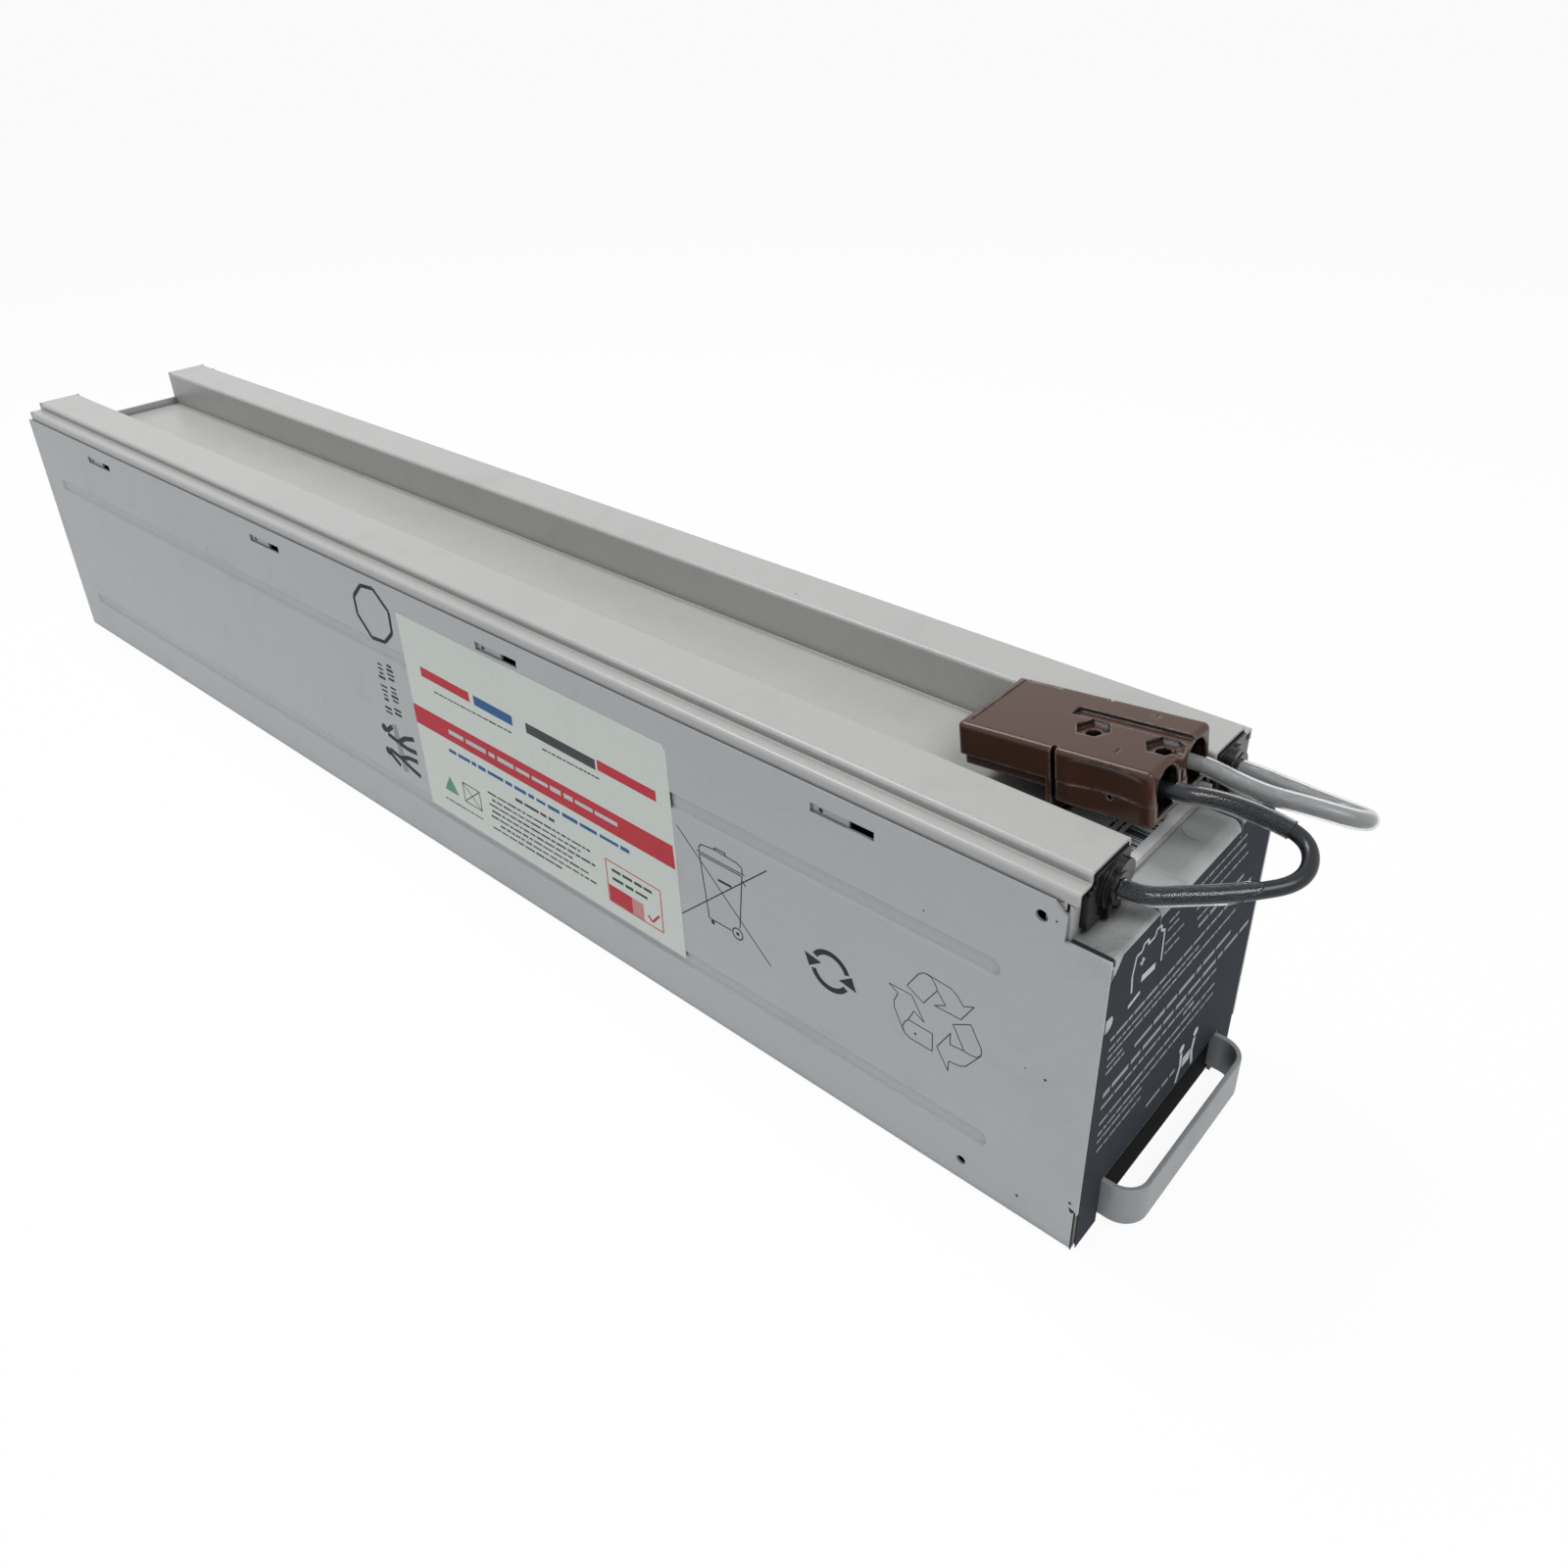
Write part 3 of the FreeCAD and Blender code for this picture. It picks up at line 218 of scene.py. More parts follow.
# a node group with named inputs, each with a first value, and named outputs, each with its kind
def startGroup(name, enters, leaves):
    group = bpy.data.node_groups.new(name, "ShaderNodeTree")
    for label, value in enters.items():
        kind = "NodeSocketColor" if isinstance(value, tuple) else "NodeSocketFloat"
        socket = group.interface.new_socket(name=label, in_out="INPUT", socket_type=kind)
        socket.default_value = value
    for label, kind in leaves.items():
        group.interface.new_socket(name=label, in_out="OUTPUT", socket_type=kind)
    return group, addNode(group, "NodeGroupInput", (-1200, 0)), addNode(group, "NodeGroupOutput", (900, 0))


noiseMiddle = 0.5  # a noise runs from 0 to 1
finishSpec = {
    "cloud": {"Scale": 11.0, "Detail": 5.0, "Roughness": 0.6},
    "grain": {"Detail": 2.0},
    "smudge": {"Scale": 52.0, "Detail": 6.0, "Roughness": 0.62, "Distortion": 0.6},
    "speck": {"Scale": 78.0},
    "patch": {"Scale": 23.0, "Detail": 1.0},
    "smudgeFrom": 0.52,
    "smudgeGain": 5.0,
    "grainShade": 0.12,
    "speckReach": 0.05,
    "patchFrom": 0.56,
    "speckColor": (0.03, 0.03, 0.032, 1),
    "cloudRough": 0.22,
    "smudgeRough": 0.4,
}


# cloudy shade, handling smudges, fine grain and small dark specks over a base colour
def makeFinishGroup(spec):
    group, enter, leave = startGroup(
        "finishGroup",
        {"Base": (0.5, 0.5, 0.5, 1), "Rough": 0.5, "Mottle": 0.1, "Smudge": 0.0, "Specks": 0.0,
         "Grain": 900.0},
        {"Color": "NodeSocketColor", "Roughness": "NodeSocketFloat", "Height": "NodeSocketFloat"})
    link = group.links.new
    coords = addNode(group, "ShaderNodeTexCoord", (-1200, -400))
    cloud = addNode(group, "ShaderNodeTexNoise", (-950, 200), **spec["cloud"])
    grain = addNode(group, "ShaderNodeTexNoise", (-950, -50), **spec["grain"])
    smudge = addNode(group, "ShaderNodeTexNoise", (-950, -300), **spec["smudge"])
    speck = addNode(group, "ShaderNodeTexVoronoi", (-950, -550), **spec["speck"])
    patch = addNode(group, "ShaderNodeTexNoise", (-950, -800), **spec["patch"])
    for texture in (cloud, grain, smudge, speck, patch):
        link(coords.outputs["Object"], texture.inputs["Vector"])
    link(enter.outputs["Grain"], grain.inputs["Scale"])
    # cloud and grain swing the shade either way, and smudges only darken it
    swing = addMath(group, "SUBTRACT", (-700, 200), cloud.outputs["Fac"], noiseMiddle)
    clouded = addMath(group, "MULTIPLY_ADD", (-500, 200), swing, enter.outputs["Mottle"], 1.0)
    over = addMath(group, "SUBTRACT", (-800, -300), smudge.outputs["Fac"], spec["smudgeFrom"])
    stain = addMath(group, "MAXIMUM", (-700, -300), over, 0.0)
    spread = addMath(group, "MULTIPLY", (-600, -300), stain, spec["smudgeGain"])
    dirt = addMath(group, "MULTIPLY", (-500, -200), spread, enter.outputs["Smudge"])
    clean = addMath(group, "SUBTRACT", (-400, -100), 1.0, dirt)
    level = addMath(group, "MULTIPLY", (-300, 100), clouded, clean)
    grainSwing = addMath(group, "SUBTRACT", (-500, 0), grain.outputs["Fac"], noiseMiddle)
    fine = addMath(group, "MULTIPLY_ADD", (-300, 0), grainSwing, spec["grainShade"], 1.0)
    shade = addNode(group, "ShaderNodeVectorMath", (-100, 0), operation="SCALE")
    link(enter.outputs["Base"], shade.inputs[0])
    link(addMath(group, "MULTIPLY", (-200, 50), level, fine), shade.inputs["Scale"])
    # specks come in patches, and each sits near its cell's centre and has its own size
    reach = addMath(group, "MULTIPLY", (-600, -650), speck.outputs["Color"], spec["speckReach"])
    near = addMath(group, "LESS_THAN", (-400, -600), speck.outputs["Distance"], reach)
    some = addMath(group, "GREATER_THAN", (-400, -850), patch.outputs["Fac"], spec["patchFrom"])
    both = addMath(group, "MULTIPLY", (-300, -700), near, some)
    strength = addMath(group, "MULTIPLY", (-200, -600), both, enter.outputs["Specks"])
    specked = addMix(group, (100, 0), factor=strength, first=shade.outputs[0], second=spec["speckColor"])
    link(specked, leave.inputs["Color"])
    rough = addMath(group, "MULTIPLY_ADD", (100, -250), swing, spec["cloudRough"], enter.outputs["Rough"])
    rougher = addMath(group, "MULTIPLY_ADD", (300, -250), dirt, spec["smudgeRough"], rough)
    link(rougher, leave.inputs["Roughness"])
    link(grain.outputs["Fac"], leave.inputs["Height"])
    return group


edgeSpec = {
    "samples": 6,
    "edgeFrom": 0.985,
    "edgeGain": 9.0,
    "rub": {"Scale": 160.0, "Detail": 4.0, "Roughness": 0.7},
    "rubFrom": 0.46,
    "rubGain": 7.0,
    "shadeFrom": 0.82,
    "shadeGain": 2.4,
}


# a mask along edges for wear, which on the connector is a painted highlight, a painted-shade mask that
# darkens corners and pockets, and a normal that softens edges
def makeEdgeGroup(spec):
    group, enter, leave = startGroup(
        "edgeGroup", {"Radius": 0.0004, "Amount": 0.5, "Depth": 0.0, "Reach": 0.006},
        {"WearAndHighlight": "NodeSocketFloat", "PaintedShade": "NodeSocketFloat", "Normal": "NodeSocketVector"})
    link = group.links.new
    soft = addNode(group, "ShaderNodeBevel", (-900, 0), samples=spec["samples"])
    link(enter.outputs["Radius"], soft.inputs["Radius"])
    shape = addNode(group, "ShaderNodeNewGeometry", (-900, -250))
    turn = addNode(group, "ShaderNodeVectorMath", (-650, 0), operation="DOT_PRODUCT")
    link(soft.outputs["Normal"], turn.inputs[0])
    link(shape.outputs["Normal"], turn.inputs[1])
    # edges: wear on the sheet metal and rubber, and on the connector a painted highlight
    bend = addMath(group, "SUBTRACT", (-450, 0), spec["edgeFrom"], turn.outputs["Value"])
    edge = addMath(group, "MULTIPLY", (-300, 0), bend, spec["edgeGain"])
    coords = addNode(group, "ShaderNodeTexCoord", (-1200, -400))
    rub = addNode(group, "ShaderNodeTexNoise", (-900, -500), **spec["rub"])
    link(coords.outputs["Object"], rub.inputs["Vector"])
    rubbed = addMath(group, "SUBTRACT", (-600, -400), rub.outputs["Fac"], spec["rubFrom"])
    broken = addMath(group, "MULTIPLY", (-450, -400), rubbed, spec["rubGain"])
    bare = addMath(group, "MINIMUM", (-150, 0), edge, broken)
    wearAndHighlight = addMath(group, "MULTIPLY", (0, 0), bare, enter.outputs["Amount"], clamp=True)
    link(wearAndHighlight, leave.inputs["WearAndHighlight"])
    # painted shade: ambient occlusion makes corners, pockets and bores darker
    hollow = addNode(group, "ShaderNodeAmbientOcclusion", (-600, -800), samples=spec["samples"])
    link(enter.outputs["Reach"], hollow.inputs["Distance"])
    inside = addMath(group, "SUBTRACT", (-300, -800), spec["shadeFrom"], hollow.outputs["AO"])
    hidden = addMath(group, "MULTIPLY", (-150, -800), inside, spec["shadeGain"])
    shadeAmount = addMath(group, "MULTIPLY", (0, -800), hidden, enter.outputs["Depth"], clamp=True)
    link(shadeAmount, leave.inputs["PaintedShade"])
    link(soft.outputs["Normal"], leave.inputs["Normal"])
    return group


finishGroup = makeFinishGroup(finishSpec)
edgeGroup = makeEdgeGroup(edgeSpec)
reliefHeight = 0.2  # millimetres
# the near-black colour of the painted shade in corners and pockets
paintedShadeColor = (0.006, 0.005, 0.005, 1)


def placeGroup(tree, group, place, values):
    node = addNode(tree, "ShaderNodeGroup", place)
    node.node_tree = group
    for key, value in values.items():
        node.inputs[key].default_value = value
    return node


def makeMaterial(name, color, rough, mottle=0.1, smudge=0.0, specks=0.0, grain=900.0, bump=0.05,
                 edge=None, **shaderValues):
    material = bpy.data.materials.new(name)
    material.use_nodes = True
    tree = material.node_tree
    shader = tree.nodes["Principled BSDF"]
    finish = placeGroup(tree, finishGroup, (-600, 0), {
        "Base": (*color, 1), "Rough": rough, "Mottle": mottle, "Smudge": smudge, "Specks": specks,
        "Grain": grain})
    relief = addNode(tree, "ShaderNodeBump", (-250, -300), Strength=bump, Distance=reliefHeight * mm)
    paint = finish.outputs["Color"]
    if edge:
        rim = placeGroup(tree, edgeGroup, (-600, -400), {
            "Radius": edge["radius"] * mm, "Amount": edge["amount"], "Depth": edge["shadeDepth"],
            "Reach": edge["reach"] * mm})
        # lighter edges: wear, and on the connector a painted highlight
        paint = addMix(tree, (-420, 100), factor=rim.outputs["WearAndHighlight"], first=paint,
                       second=(*edge["color"], 1))
        # painted shade darkens corners and pockets
        paint = addMix(tree, (-220, 100), factor=rim.outputs["PaintedShade"], first=paint,
                       second=paintedShadeColor)
        tree.links.new(rim.outputs["Normal"], relief.inputs["Normal"])
    tree.links.new(paint, shader.inputs["Base Color"])
    tree.links.new(finish.outputs["Roughness"], shader.inputs["Roughness"])
    tree.links.new(finish.outputs["Height"], relief.inputs["Height"])
    tree.links.new(relief.outputs["Normal"], shader.inputs["Normal"])
    for key, value in shaderValues.items():
        shader.inputs[key.replace("_", " ")].default_value = value  # sockets are named with spaces
    return material


# softening at edges, wear at edges (on the connector a painted highlight) and painted shade in corners and
# pockets; radius and reach are in millimetres
metalEdge = {"radius": 0.4, "amount": 0.3, "color": (0.6, 0.61, 0.6), "shadeDepth": 0.55, "reach": 5}
wornEdge = {"radius": 0.35, "amount": 0.9, "color": (0.72, 0.73, 0.72), "shadeDepth": 0.2, "reach": 3}
# on the connector the light edge colour is a painted highlight, and its dark bores and pockets are painted
# shade
plasticEdge = {"radius": 1.1, "amount": 0.5, "color": (0.4, 0.3, 0.25), "shadeDepth": 1.0, "reach": 11}
rubberEdge = {"radius": 0.3, "amount": 0.1, "color": (0.06, 0.06, 0.07), "shadeDepth": 0.6, "reach": 4}
panelPaint = makeMaterial("panelPaint", (0.385, 0.4, 0.41), 0.42, mottle=0.1, smudge=0.05, specks=1.0,
                          edge=metalEdge)
topPaint = makeMaterial("topPaint", (0.395, 0.395, 0.385), 0.34, mottle=0.14, smudge=0.06, specks=1.0,
                        edge=metalEdge)
frontPaint = makeMaterial("frontPaint", (0.365, 0.372, 0.372), 0.38, mottle=0.2, smudge=0.5, specks=1.0,
                          edge=metalEdge)
handlePaint = makeMaterial("handlePaint", (0.25, 0.262, 0.27), 0.4, mottle=0.12, smudge=0.12, specks=0.6,
                           edge=wornEdge)
blackSheet = makeMaterial("blackSheet", (0.006, 0.006, 0.007), 0.8, Specular_IOR_Level=0.04)
whiteSheet = makeMaterial("whiteSheet", (0.7, 0.7, 0.66), 0.5)
batteryCase = makeMaterial("batteryCase", (0.03, 0.03, 0.035), 0.5)
tabMetal = makeMaterial("tabMetal", (0.6, 0.48, 0.28), 0.35, Metallic=1.0)
foamGrey = makeMaterial("foamGrey", (0.06, 0.06, 0.065), 0.9, grain=1500.0, bump=0.6)
grommetBlack = makeMaterial("grommetBlack", (0.005, 0.005, 0.006), 0.24, bump=0.1, edge=rubberEdge,
                            Specular_IOR_Level=0.3)
connectorBrown = makeMaterial("connectorBrown", (0.062, 0.026, 0.016), 0.14, mottle=0.2, grain=1600.0,
                              bump=0.06, edge=plasticEdge, Specular_IOR_Level=0.3)
blackJacket = makeMaterial("blackJacket", (0.006, 0.008, 0.012), 0.28, bump=0.1, Specular_IOR_Level=0.4)
greyJacket = makeMaterial("greyJacket", (0.25, 0.25, 0.25), 0.4, bump=0.1)
clearTube = makeMaterial("clearTube", (0.86, 0.87, 0.88), 0.09, mottle=0.05, bump=0.0,
                         Transmission_Weight=1.0, IOR=1.2)
charcoalLabel = makeMaterial("charcoalLabel", (0.03, 0.035, 0.043), 0.7, mottle=0.25, grain=1300.0,
                             Specular_IOR_Level=0.05)
palePaper = makeMaterial("palePaper", (0.56, 0.6, 0.56), 0.45, mottle=0.06, smudge=0.03,
                         Specular_IOR_Level=0.4)
whitePaper = makeMaterial("whitePaper", (0.62, 0.64, 0.65), 0.4, mottle=0.05)
inkColors = {
    "inkDark": (0.06, 0.064, 0.07), "inkHeavy": (0.025, 0.027, 0.03), "inkPale": (0.27, 0.285, 0.3),
    "inkWhite": (0.5, 0.52, 0.54), "inkRed": (0.47, 0.04, 0.055), "inkRose": (0.52, 0.25, 0.25),
    "inkBlue": (0.035, 0.11, 0.27), "inkGreen": (0.12, 0.3, 0.2), "chipDark": (0.04, 0.04, 0.042),
}
inkRough = 0.6
inks = {name: makeMaterial(name, color, inkRough, mottle=0.25, smudge=0.1, grain=1400.0,
                           Specular_IOR_Level=0.15)
        for name, color in inkColors.items()}
inks["charcoalLabel"] = charcoalLabel
batteryCount = 8
dressing = (
    (panelPaint, ("case_pan", "rear_wall")),
    (topPaint, ("top_cover",)),
    (frontPaint, ("front_wall",)),
    (handlePaint, ("handle",)),
    (blackSheet, ("notch_liner",)),
    (whiteSheet, ("bottom_liner",)),
    (batteryCase, ["battery_%d" % (index + 1) for index in range(batteryCount)]),
    (tabMetal, ("battery_terminals", "left_links", "right_links", "left_feed", "return_strap",
                "connector_contacts")),
    (foamGrey, ("front_foam", "rear_foam")),
    (grommetBlack, ("left_grommet", "right_grommet")),
    (connectorBrown, ("connector_upper_shell", "connector_lower_shell")),
    (charcoalLabel, ("front_label",)),
    (palePaper, ("side_label",)),
    (whitePaper, ("floor_sticker",)),
)
for material, names in dressing:
    for node in names:
        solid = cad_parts[node]
        solid.data.materials.clear()
        solid.data.materials.append(material)
for piece, material in ((leftLead, blackJacket), (rightLead, greyJacket), (leftSleeve, clearTube),
                        (leftSleeveEnd, clearTube), (rightSleeve, clearTube)):
    piece.data.materials.append(material)
print("materials set")

# printed marks are thin plates laid on a face and drawn in that face's own millimetres;
# bars and marks that may cross stand at slightly different heights, so that no two coincide
printSpec = {"lift": 0.02, "barStep": 0.0025, "markStep": 0.005, "markSteps": 5, "thick": 0.05}
shelfLevel = 103.5
# where across, up and out point on a face that looks left, forward or up
leftward = {"across": (0, 1, 0), "up": (0, 0, 1), "out": (-1, 0, 0)}
forward = {"across": (1, 0, 0), "up": (0, 0, 1), "out": (0, -1, 0)}
upward = {"across": (1, 0, 0), "up": (0, 1, 0), "out": (0, 0, 1)}
panelLow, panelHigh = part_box("case_pan")
noteLow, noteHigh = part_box("floor_sticker")
faces = {
    "side": {"corner": (panelLow.x, frontY, 0), **leftward},
    "sticker": {"corner": (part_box("side_label")[0].x, frontY, 0), **leftward},
    "label": {"corner": (0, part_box("front_label")[0].y, 0), **forward},
    "note": {"corner": (0, frontY, noteHigh.z), **upward},
    "shelf": {"corner": (0, frontY, shelfLevel * mm), **upward},
    "panelTop": {"corner": (0, frontY, panelHigh.z), **upward},
    "flange": {"corner": (0, frontY, noteLow.z), **upward},  # level with the note's underside
}


def addBar(built, lift, start, end, width):
    first = Vector((*start, 0))
    last = Vector((*end, 0))
    run = last - first
    place = Matrix.Translation((first + last) / 2 + Vector((0, 0, lift)))
    turn = Matrix.Rotation(math.atan2(run.y, run.x), 4, "Z")
    stretch = Matrix.Diagonal((run.length, width, 1, 1))
    bmesh.ops.create_grid(built, x_segments=1, y_segments=1, size=0.5, matrix=place @ turn @ stretch)


def addPath(built, lift, points, width, closed=False):
    ends = points[1:] + (points[:1] if closed else [])
    for index, (start, end) in enumerate(zip(points, ends)):
        addBar(built, lift + index % 2 * printSpec["barStep"], start, end, width)


fullTurn = 360
ringStep = 9  # degrees


def addRing(built, lift, centre, radius, width, start=0, sweep=fullTurn):
    middle = Vector((*centre, lift))
    ray = Vector((math.cos(math.radians(start)), math.sin(math.radians(start)), 0))
    inner = built.verts.new(middle + ray * (radius - width / 2))
    outer = built.verts.new(middle + ray * (radius + width / 2))
    edge = built.edges.new((inner, outer))
    bmesh.ops.spin(built, geom=[inner, outer, edge], cent=middle, axis=(0, 0, 1), angle=math.radians(sweep),
                   steps=int(sweep / ringStep), use_merge=sweep == fullTurn, use_duplicate=False)


def addDisc(built, lift, centre, radius, sides=16):
    bmesh.ops.create_circle(built, cap_ends=True, segments=sides, radius=radius,
                            matrix=Matrix.Translation((*centre, lift)))


def addPatch(built, lift, points):
    built.faces.new([built.verts.new((*point, lift)) for point in points])


# a line of print is a row of plain dashes of word-like length, each a share of the row's height
rowSpec = {"dash": (0.9, 3.4), "stroke": (0.42, 0.56), "gap": (0.3, 0.45)}


def addRow(built, lift, start, stop, height, seed):
    draw = random.Random(seed)
    left, level = start
    middle = level + height / 2
    way = 1 if stop > left else -1
    while (stop - left) * way > height:
        run = min(height * draw.uniform(*rowSpec["dash"]), (stop - left) * way)
        stroke = height * draw.uniform(*rowSpec["stroke"])
        addBar(built, lift, (left, middle), (left + way * run, middle), stroke)
        left += way * (run + height * draw.uniform(*rowSpec["gap"]))


# each mark is its kind, then the values that its maker takes
markMakers = {
    "bar": addBar, "path": addPath, "ring": addRing, "disc": addDisc, "patch": addPatch, "row": addRow,
}


def printMarks(name, face, ink, marks, above=0.0):
    built = bmesh.new()
    for index, (kind, *values) in enumerate(marks):
        lift = printSpec["lift"] + above + index % printSpec["markSteps"] * printSpec["markStep"]
        markMakers[kind](built, lift, *values)
    grown = bmesh.ops.extrude_face_region(built, geom=built.faces[:], use_keep_orig=True)
    moved = [part for part in grown["geom"] if isinstance(part, bmesh.types.BMVert)]
    bmesh.ops.translate(built, verts=moved, vec=(0, 0, -printSpec["thick"]))
    spec = faces[face]
    axes = Matrix([spec["across"], spec["up"], spec["out"]]).transposed().to_4x4()
    place = Matrix.Translation(spec["corner"]) @ axes @ Matrix.Scale(mm, 4)
    bmesh.ops.transform(built, matrix=place, verts=built.verts)
    bmesh.ops.recalc_face_normals(built, faces=built.faces)
    piece = placeMesh(name, built)
    piece.data.materials.append(inks[ink])


def turnPoints(points, centre, angle):
    spin = Matrix.Rotation(math.radians(angle), 2)
    return [tuple(spin @ Vector(point) + Vector(centre)) for point in points]


# three folded bands chasing each other, drawn in outline and mirrored, as the rear lies to the left
loopSpec = {
    "centre": (47.5, 56.0),
    "angles": (0, 120, 240),
    "stroke": 0.32,
    "band": [(-4.4, 3.7), (-10.1, 6.8), (-6.3, 13.2), (-4.6, 14.5), (-2.4, 14.3), (-0.9, 12.6),
             (-0.1, 10.8)],
    "arrow": [(-4.0, 14.6), (4.1, 14.1), (6.0, 13.0), (8.3, 10.2), (11.6, 12.0), (7.8, 5.2), (-0.9, 5.0),
              (2.7, 7.1), (-0.1, 10.8)],
}
loopMarks = []
for angle in loopSpec["angles"]:
    for key in ("band", "arrow"):
        mirrored = [(-x, y) for x, y in loopSpec[key]]
        outline = turnPoints(mirrored, loopSpec["centre"], angle)
        loopMarks.append(("path", outline, loopSpec["stroke"], key == "band"))
printMarks("loop_symbol", "side", "inkDark", loopMarks)

# a bin on wheels under a cross
binStroke = 0.4
binWheel = (121.9, 45.5)
printMarks("bin_symbol", "side", "inkHeavy", [
    ("path", [(137.9, 70.3), (117.8, 70.3)], binStroke),
    ("path", [(137.2, 69.4), (118.6, 69.4)], binStroke),
    ("path", [(136.8, 69.4), (134.1, 45.4), (124.5, 45.5)], binStroke),
    ("bar", (119.0, 69.2), (120.8, 48.4), binStroke),
    ("ring", binWheel, 2.1, 0.45),
    ("disc", binWheel, 0.7),  # its hub
    ("disc", (132.6, 44.4), 0.8),
    ("path", [(136.8, 70.5), (136.8, 72.1), (135.7, 73.4), (130.3, 74.1), (121, 73.6), (118.9, 72.6),
              (118.8, 70.5)], binStroke),
    ("path", [(130, 74), (130, 74.9), (125.6, 74.9), (125.6, 74)], binStroke),
    ("bar", (129.3, 63), (123.6, 63.1), 0.9),  # the grip on its front
    ("path", [(118.9, 67.8), (117.6, 66.2)], binStroke),
    ("bar", (146.2, 76), (108.3, 40.1), binStroke),  # the cross
    ("bar", (146.7, 40.5), (108.7, 76.8), binStroke),
])

arrowSpec = {
    "centre": (84.9, 51.7),
    "radius": 6.6,
    "stroke": 1.9,
    "starts": (30, 210),
    "sweep": 132,
    "heads": ([(94.6, 54.3), (88.2, 53.2), (92.9, 49.6)], [(75.2, 49.2), (81.6, 50.3), (76.9, 53.9)]),
}
arrowMarks = []
for start in arrowSpec["starts"]:
    arrowMarks.append(("ring", arrowSpec["centre"], arrowSpec["radius"], arrowSpec["stroke"], start,
                       arrowSpec["sweep"]))
arrowMarks += [("patch", head) for head in arrowSpec["heads"]]
printMarks("round_arrows", "side", "inkHeavy", arrowMarks)

octagonSpec = {
    "stroke": 1.6,
    "corners": [(308.8, 109.4), (300.5, 110.5), (292.4, 103.5), (292.8, 94.6), (298.9, 88.9), (307.7, 88.0),
                (315.0, 95.7), (315.0, 103.2)],
}
printMarks("octagon_outline", "side", "inkHeavy",
           [("path", octagonSpec["corners"], octagonSpec["stroke"], True)])

# two columns of short bars in groups, then two figures with bent limbs and the box they lift
liftingSpec = {
    "seed": 4,
    "columns": ((306.3, 77), (299.8, 78.3)),
    "rows": 12,
    "emptyRows": (4, 9),
    "pitch": 1.95,
    "reach": (1.2, 2.4),
    "stroke": (0.7, 1.2),
    "heads": ((312.4, 46.2), (312.8, 35.2)),
    "headRadius": 1.9,
    "limbWidth": 2.1,
    "limbs": (
        [(310.6, 44.0), (303.8, 42.8), (298.4, 46.6), (292, 48.6)],
        [(311.0, 45.2), (306.4, 49.0)],
        [(303.4, 42.6), (297.4, 42.0), (291.8, 42.6)],
        [(311.2, 36.6), (304.2, 35.2), (298.4, 37.6), (292.2, 38.2)],
        [(311.4, 34.6), (305.6, 31.0)],
        [(304.2, 35.2), (298.2, 33.0), (292, 31.4)],
    ),
    "box": [(306.4, 50.2), (303.0, 51.2), (300.4, 30.2), (303.8, 29.0)],
}
liftingMarks = []
draw = random.Random(liftingSpec["seed"])
for across, top in liftingSpec["columns"]:
    for index in range(liftingSpec["rows"]):
        if index in liftingSpec["emptyRows"]:
            continue
        reach = draw.uniform(*liftingSpec["reach"])
        stroke = draw.uniform(*liftingSpec["stroke"])
        level = top - index * liftingSpec["pitch"]
        liftingMarks.append(("bar", (across + reach, level), (across - reach, level), stroke))
liftingMarks += [("disc", head, liftingSpec["headRadius"]) for head in liftingSpec["heads"]]
liftingMarks += [("path", limb, liftingSpec["limbWidth"]) for limb in liftingSpec["limbs"]]
printMarks("lifting_marks", "side", "inkHeavy", liftingMarks)
printMarks("lifted_box", "side", "inkPale", [("patch", liftingSpec["box"])])
print("side marks laid")

# the pale sticker: a red band, plain bars in place of names, rows of small print and line boxes
boxStroke = 0.4
printMarks("sticker_red", "sticker", "inkRed", [
    ("patch", [(287.0, 67.3), (148.6, 66.7), (148.1, 57.5), (286.9, 58.9)]),  # the band
    ("patch", [(277.6, 86.2), (249, 85.6), (249, 81.6), (277.6, 82.2)]),
    ("patch", [(181.6, 85.4), (154.5, 84.9), (154.5, 80.9), (181.6, 81.4)]),
    ("patch", [(182.4, 34.6), (171, 34.4), (171, 27.4), (182.4, 27.6)]),
    ("path", [(182.8, 45.1), (156.4, 44.7), (156.4, 27.0), (182.8, 27.2)], boxStroke, True),
    ("path", [(163.4, 30.8), (161.4, 28.9), (157.8, 33.4)], 0.9),  # a tick
])
printMarks("sticker_rose", "sticker", "inkRose", [
    ("patch", [(171, 34.4), (165.4, 34.3), (165.4, 27.3), (171, 27.4)]),
])
# print on the red band has to clear it
printMarks("sticker_white", "sticker", "inkWhite", [("row", (266, 61.0), 170, 3.6, 5)], above=0.04)
printMarks("sticker_blue", "sticker", "inkBlue", [
    ("patch", [(246.4, 85.5), (225, 85.1), (225, 81.1), (246.4, 81.5)]),
    ("row", (268, 52.4), 166, 3.0, 3),
])
printMarks("sticker_green", "sticker", "inkGreen", [("patch", [(275.3, 33.5), (266.5, 33.5), (270.9, 40.9)])])
stickerRows = [
    ("row", (271, 77.2), 226.5, 1.2, 11),
    ("row", (210, 77.4), 180, 1.2, 12),
    ("row", (230, 47.2), 206, 2.6, 13),
    ("row", (276, 28.4), 253, 1.2, 14),
    ("row", (180, 40.6), 159.4, 2.4, 16),
    ("row", (180, 36.9), 163, 2.4, 17),
]
smallPrint = {
    "top": 43.4,
    "pitch": 2.65,
    "height": 1.6,
    "firstSeed": 20,
    "ends": ((247, 190), (245, 196), (247, 187), (246, 201), (247, 193), (242, 189), (247, 208)),
}
for index, (first, last) in enumerate(smallPrint["ends"]):
    start = (first, smallPrint["top"] - index * smallPrint["pitch"])
    stickerRows.append(("row", start, last, smallPrint["height"], smallPrint["firstSeed"] + index))
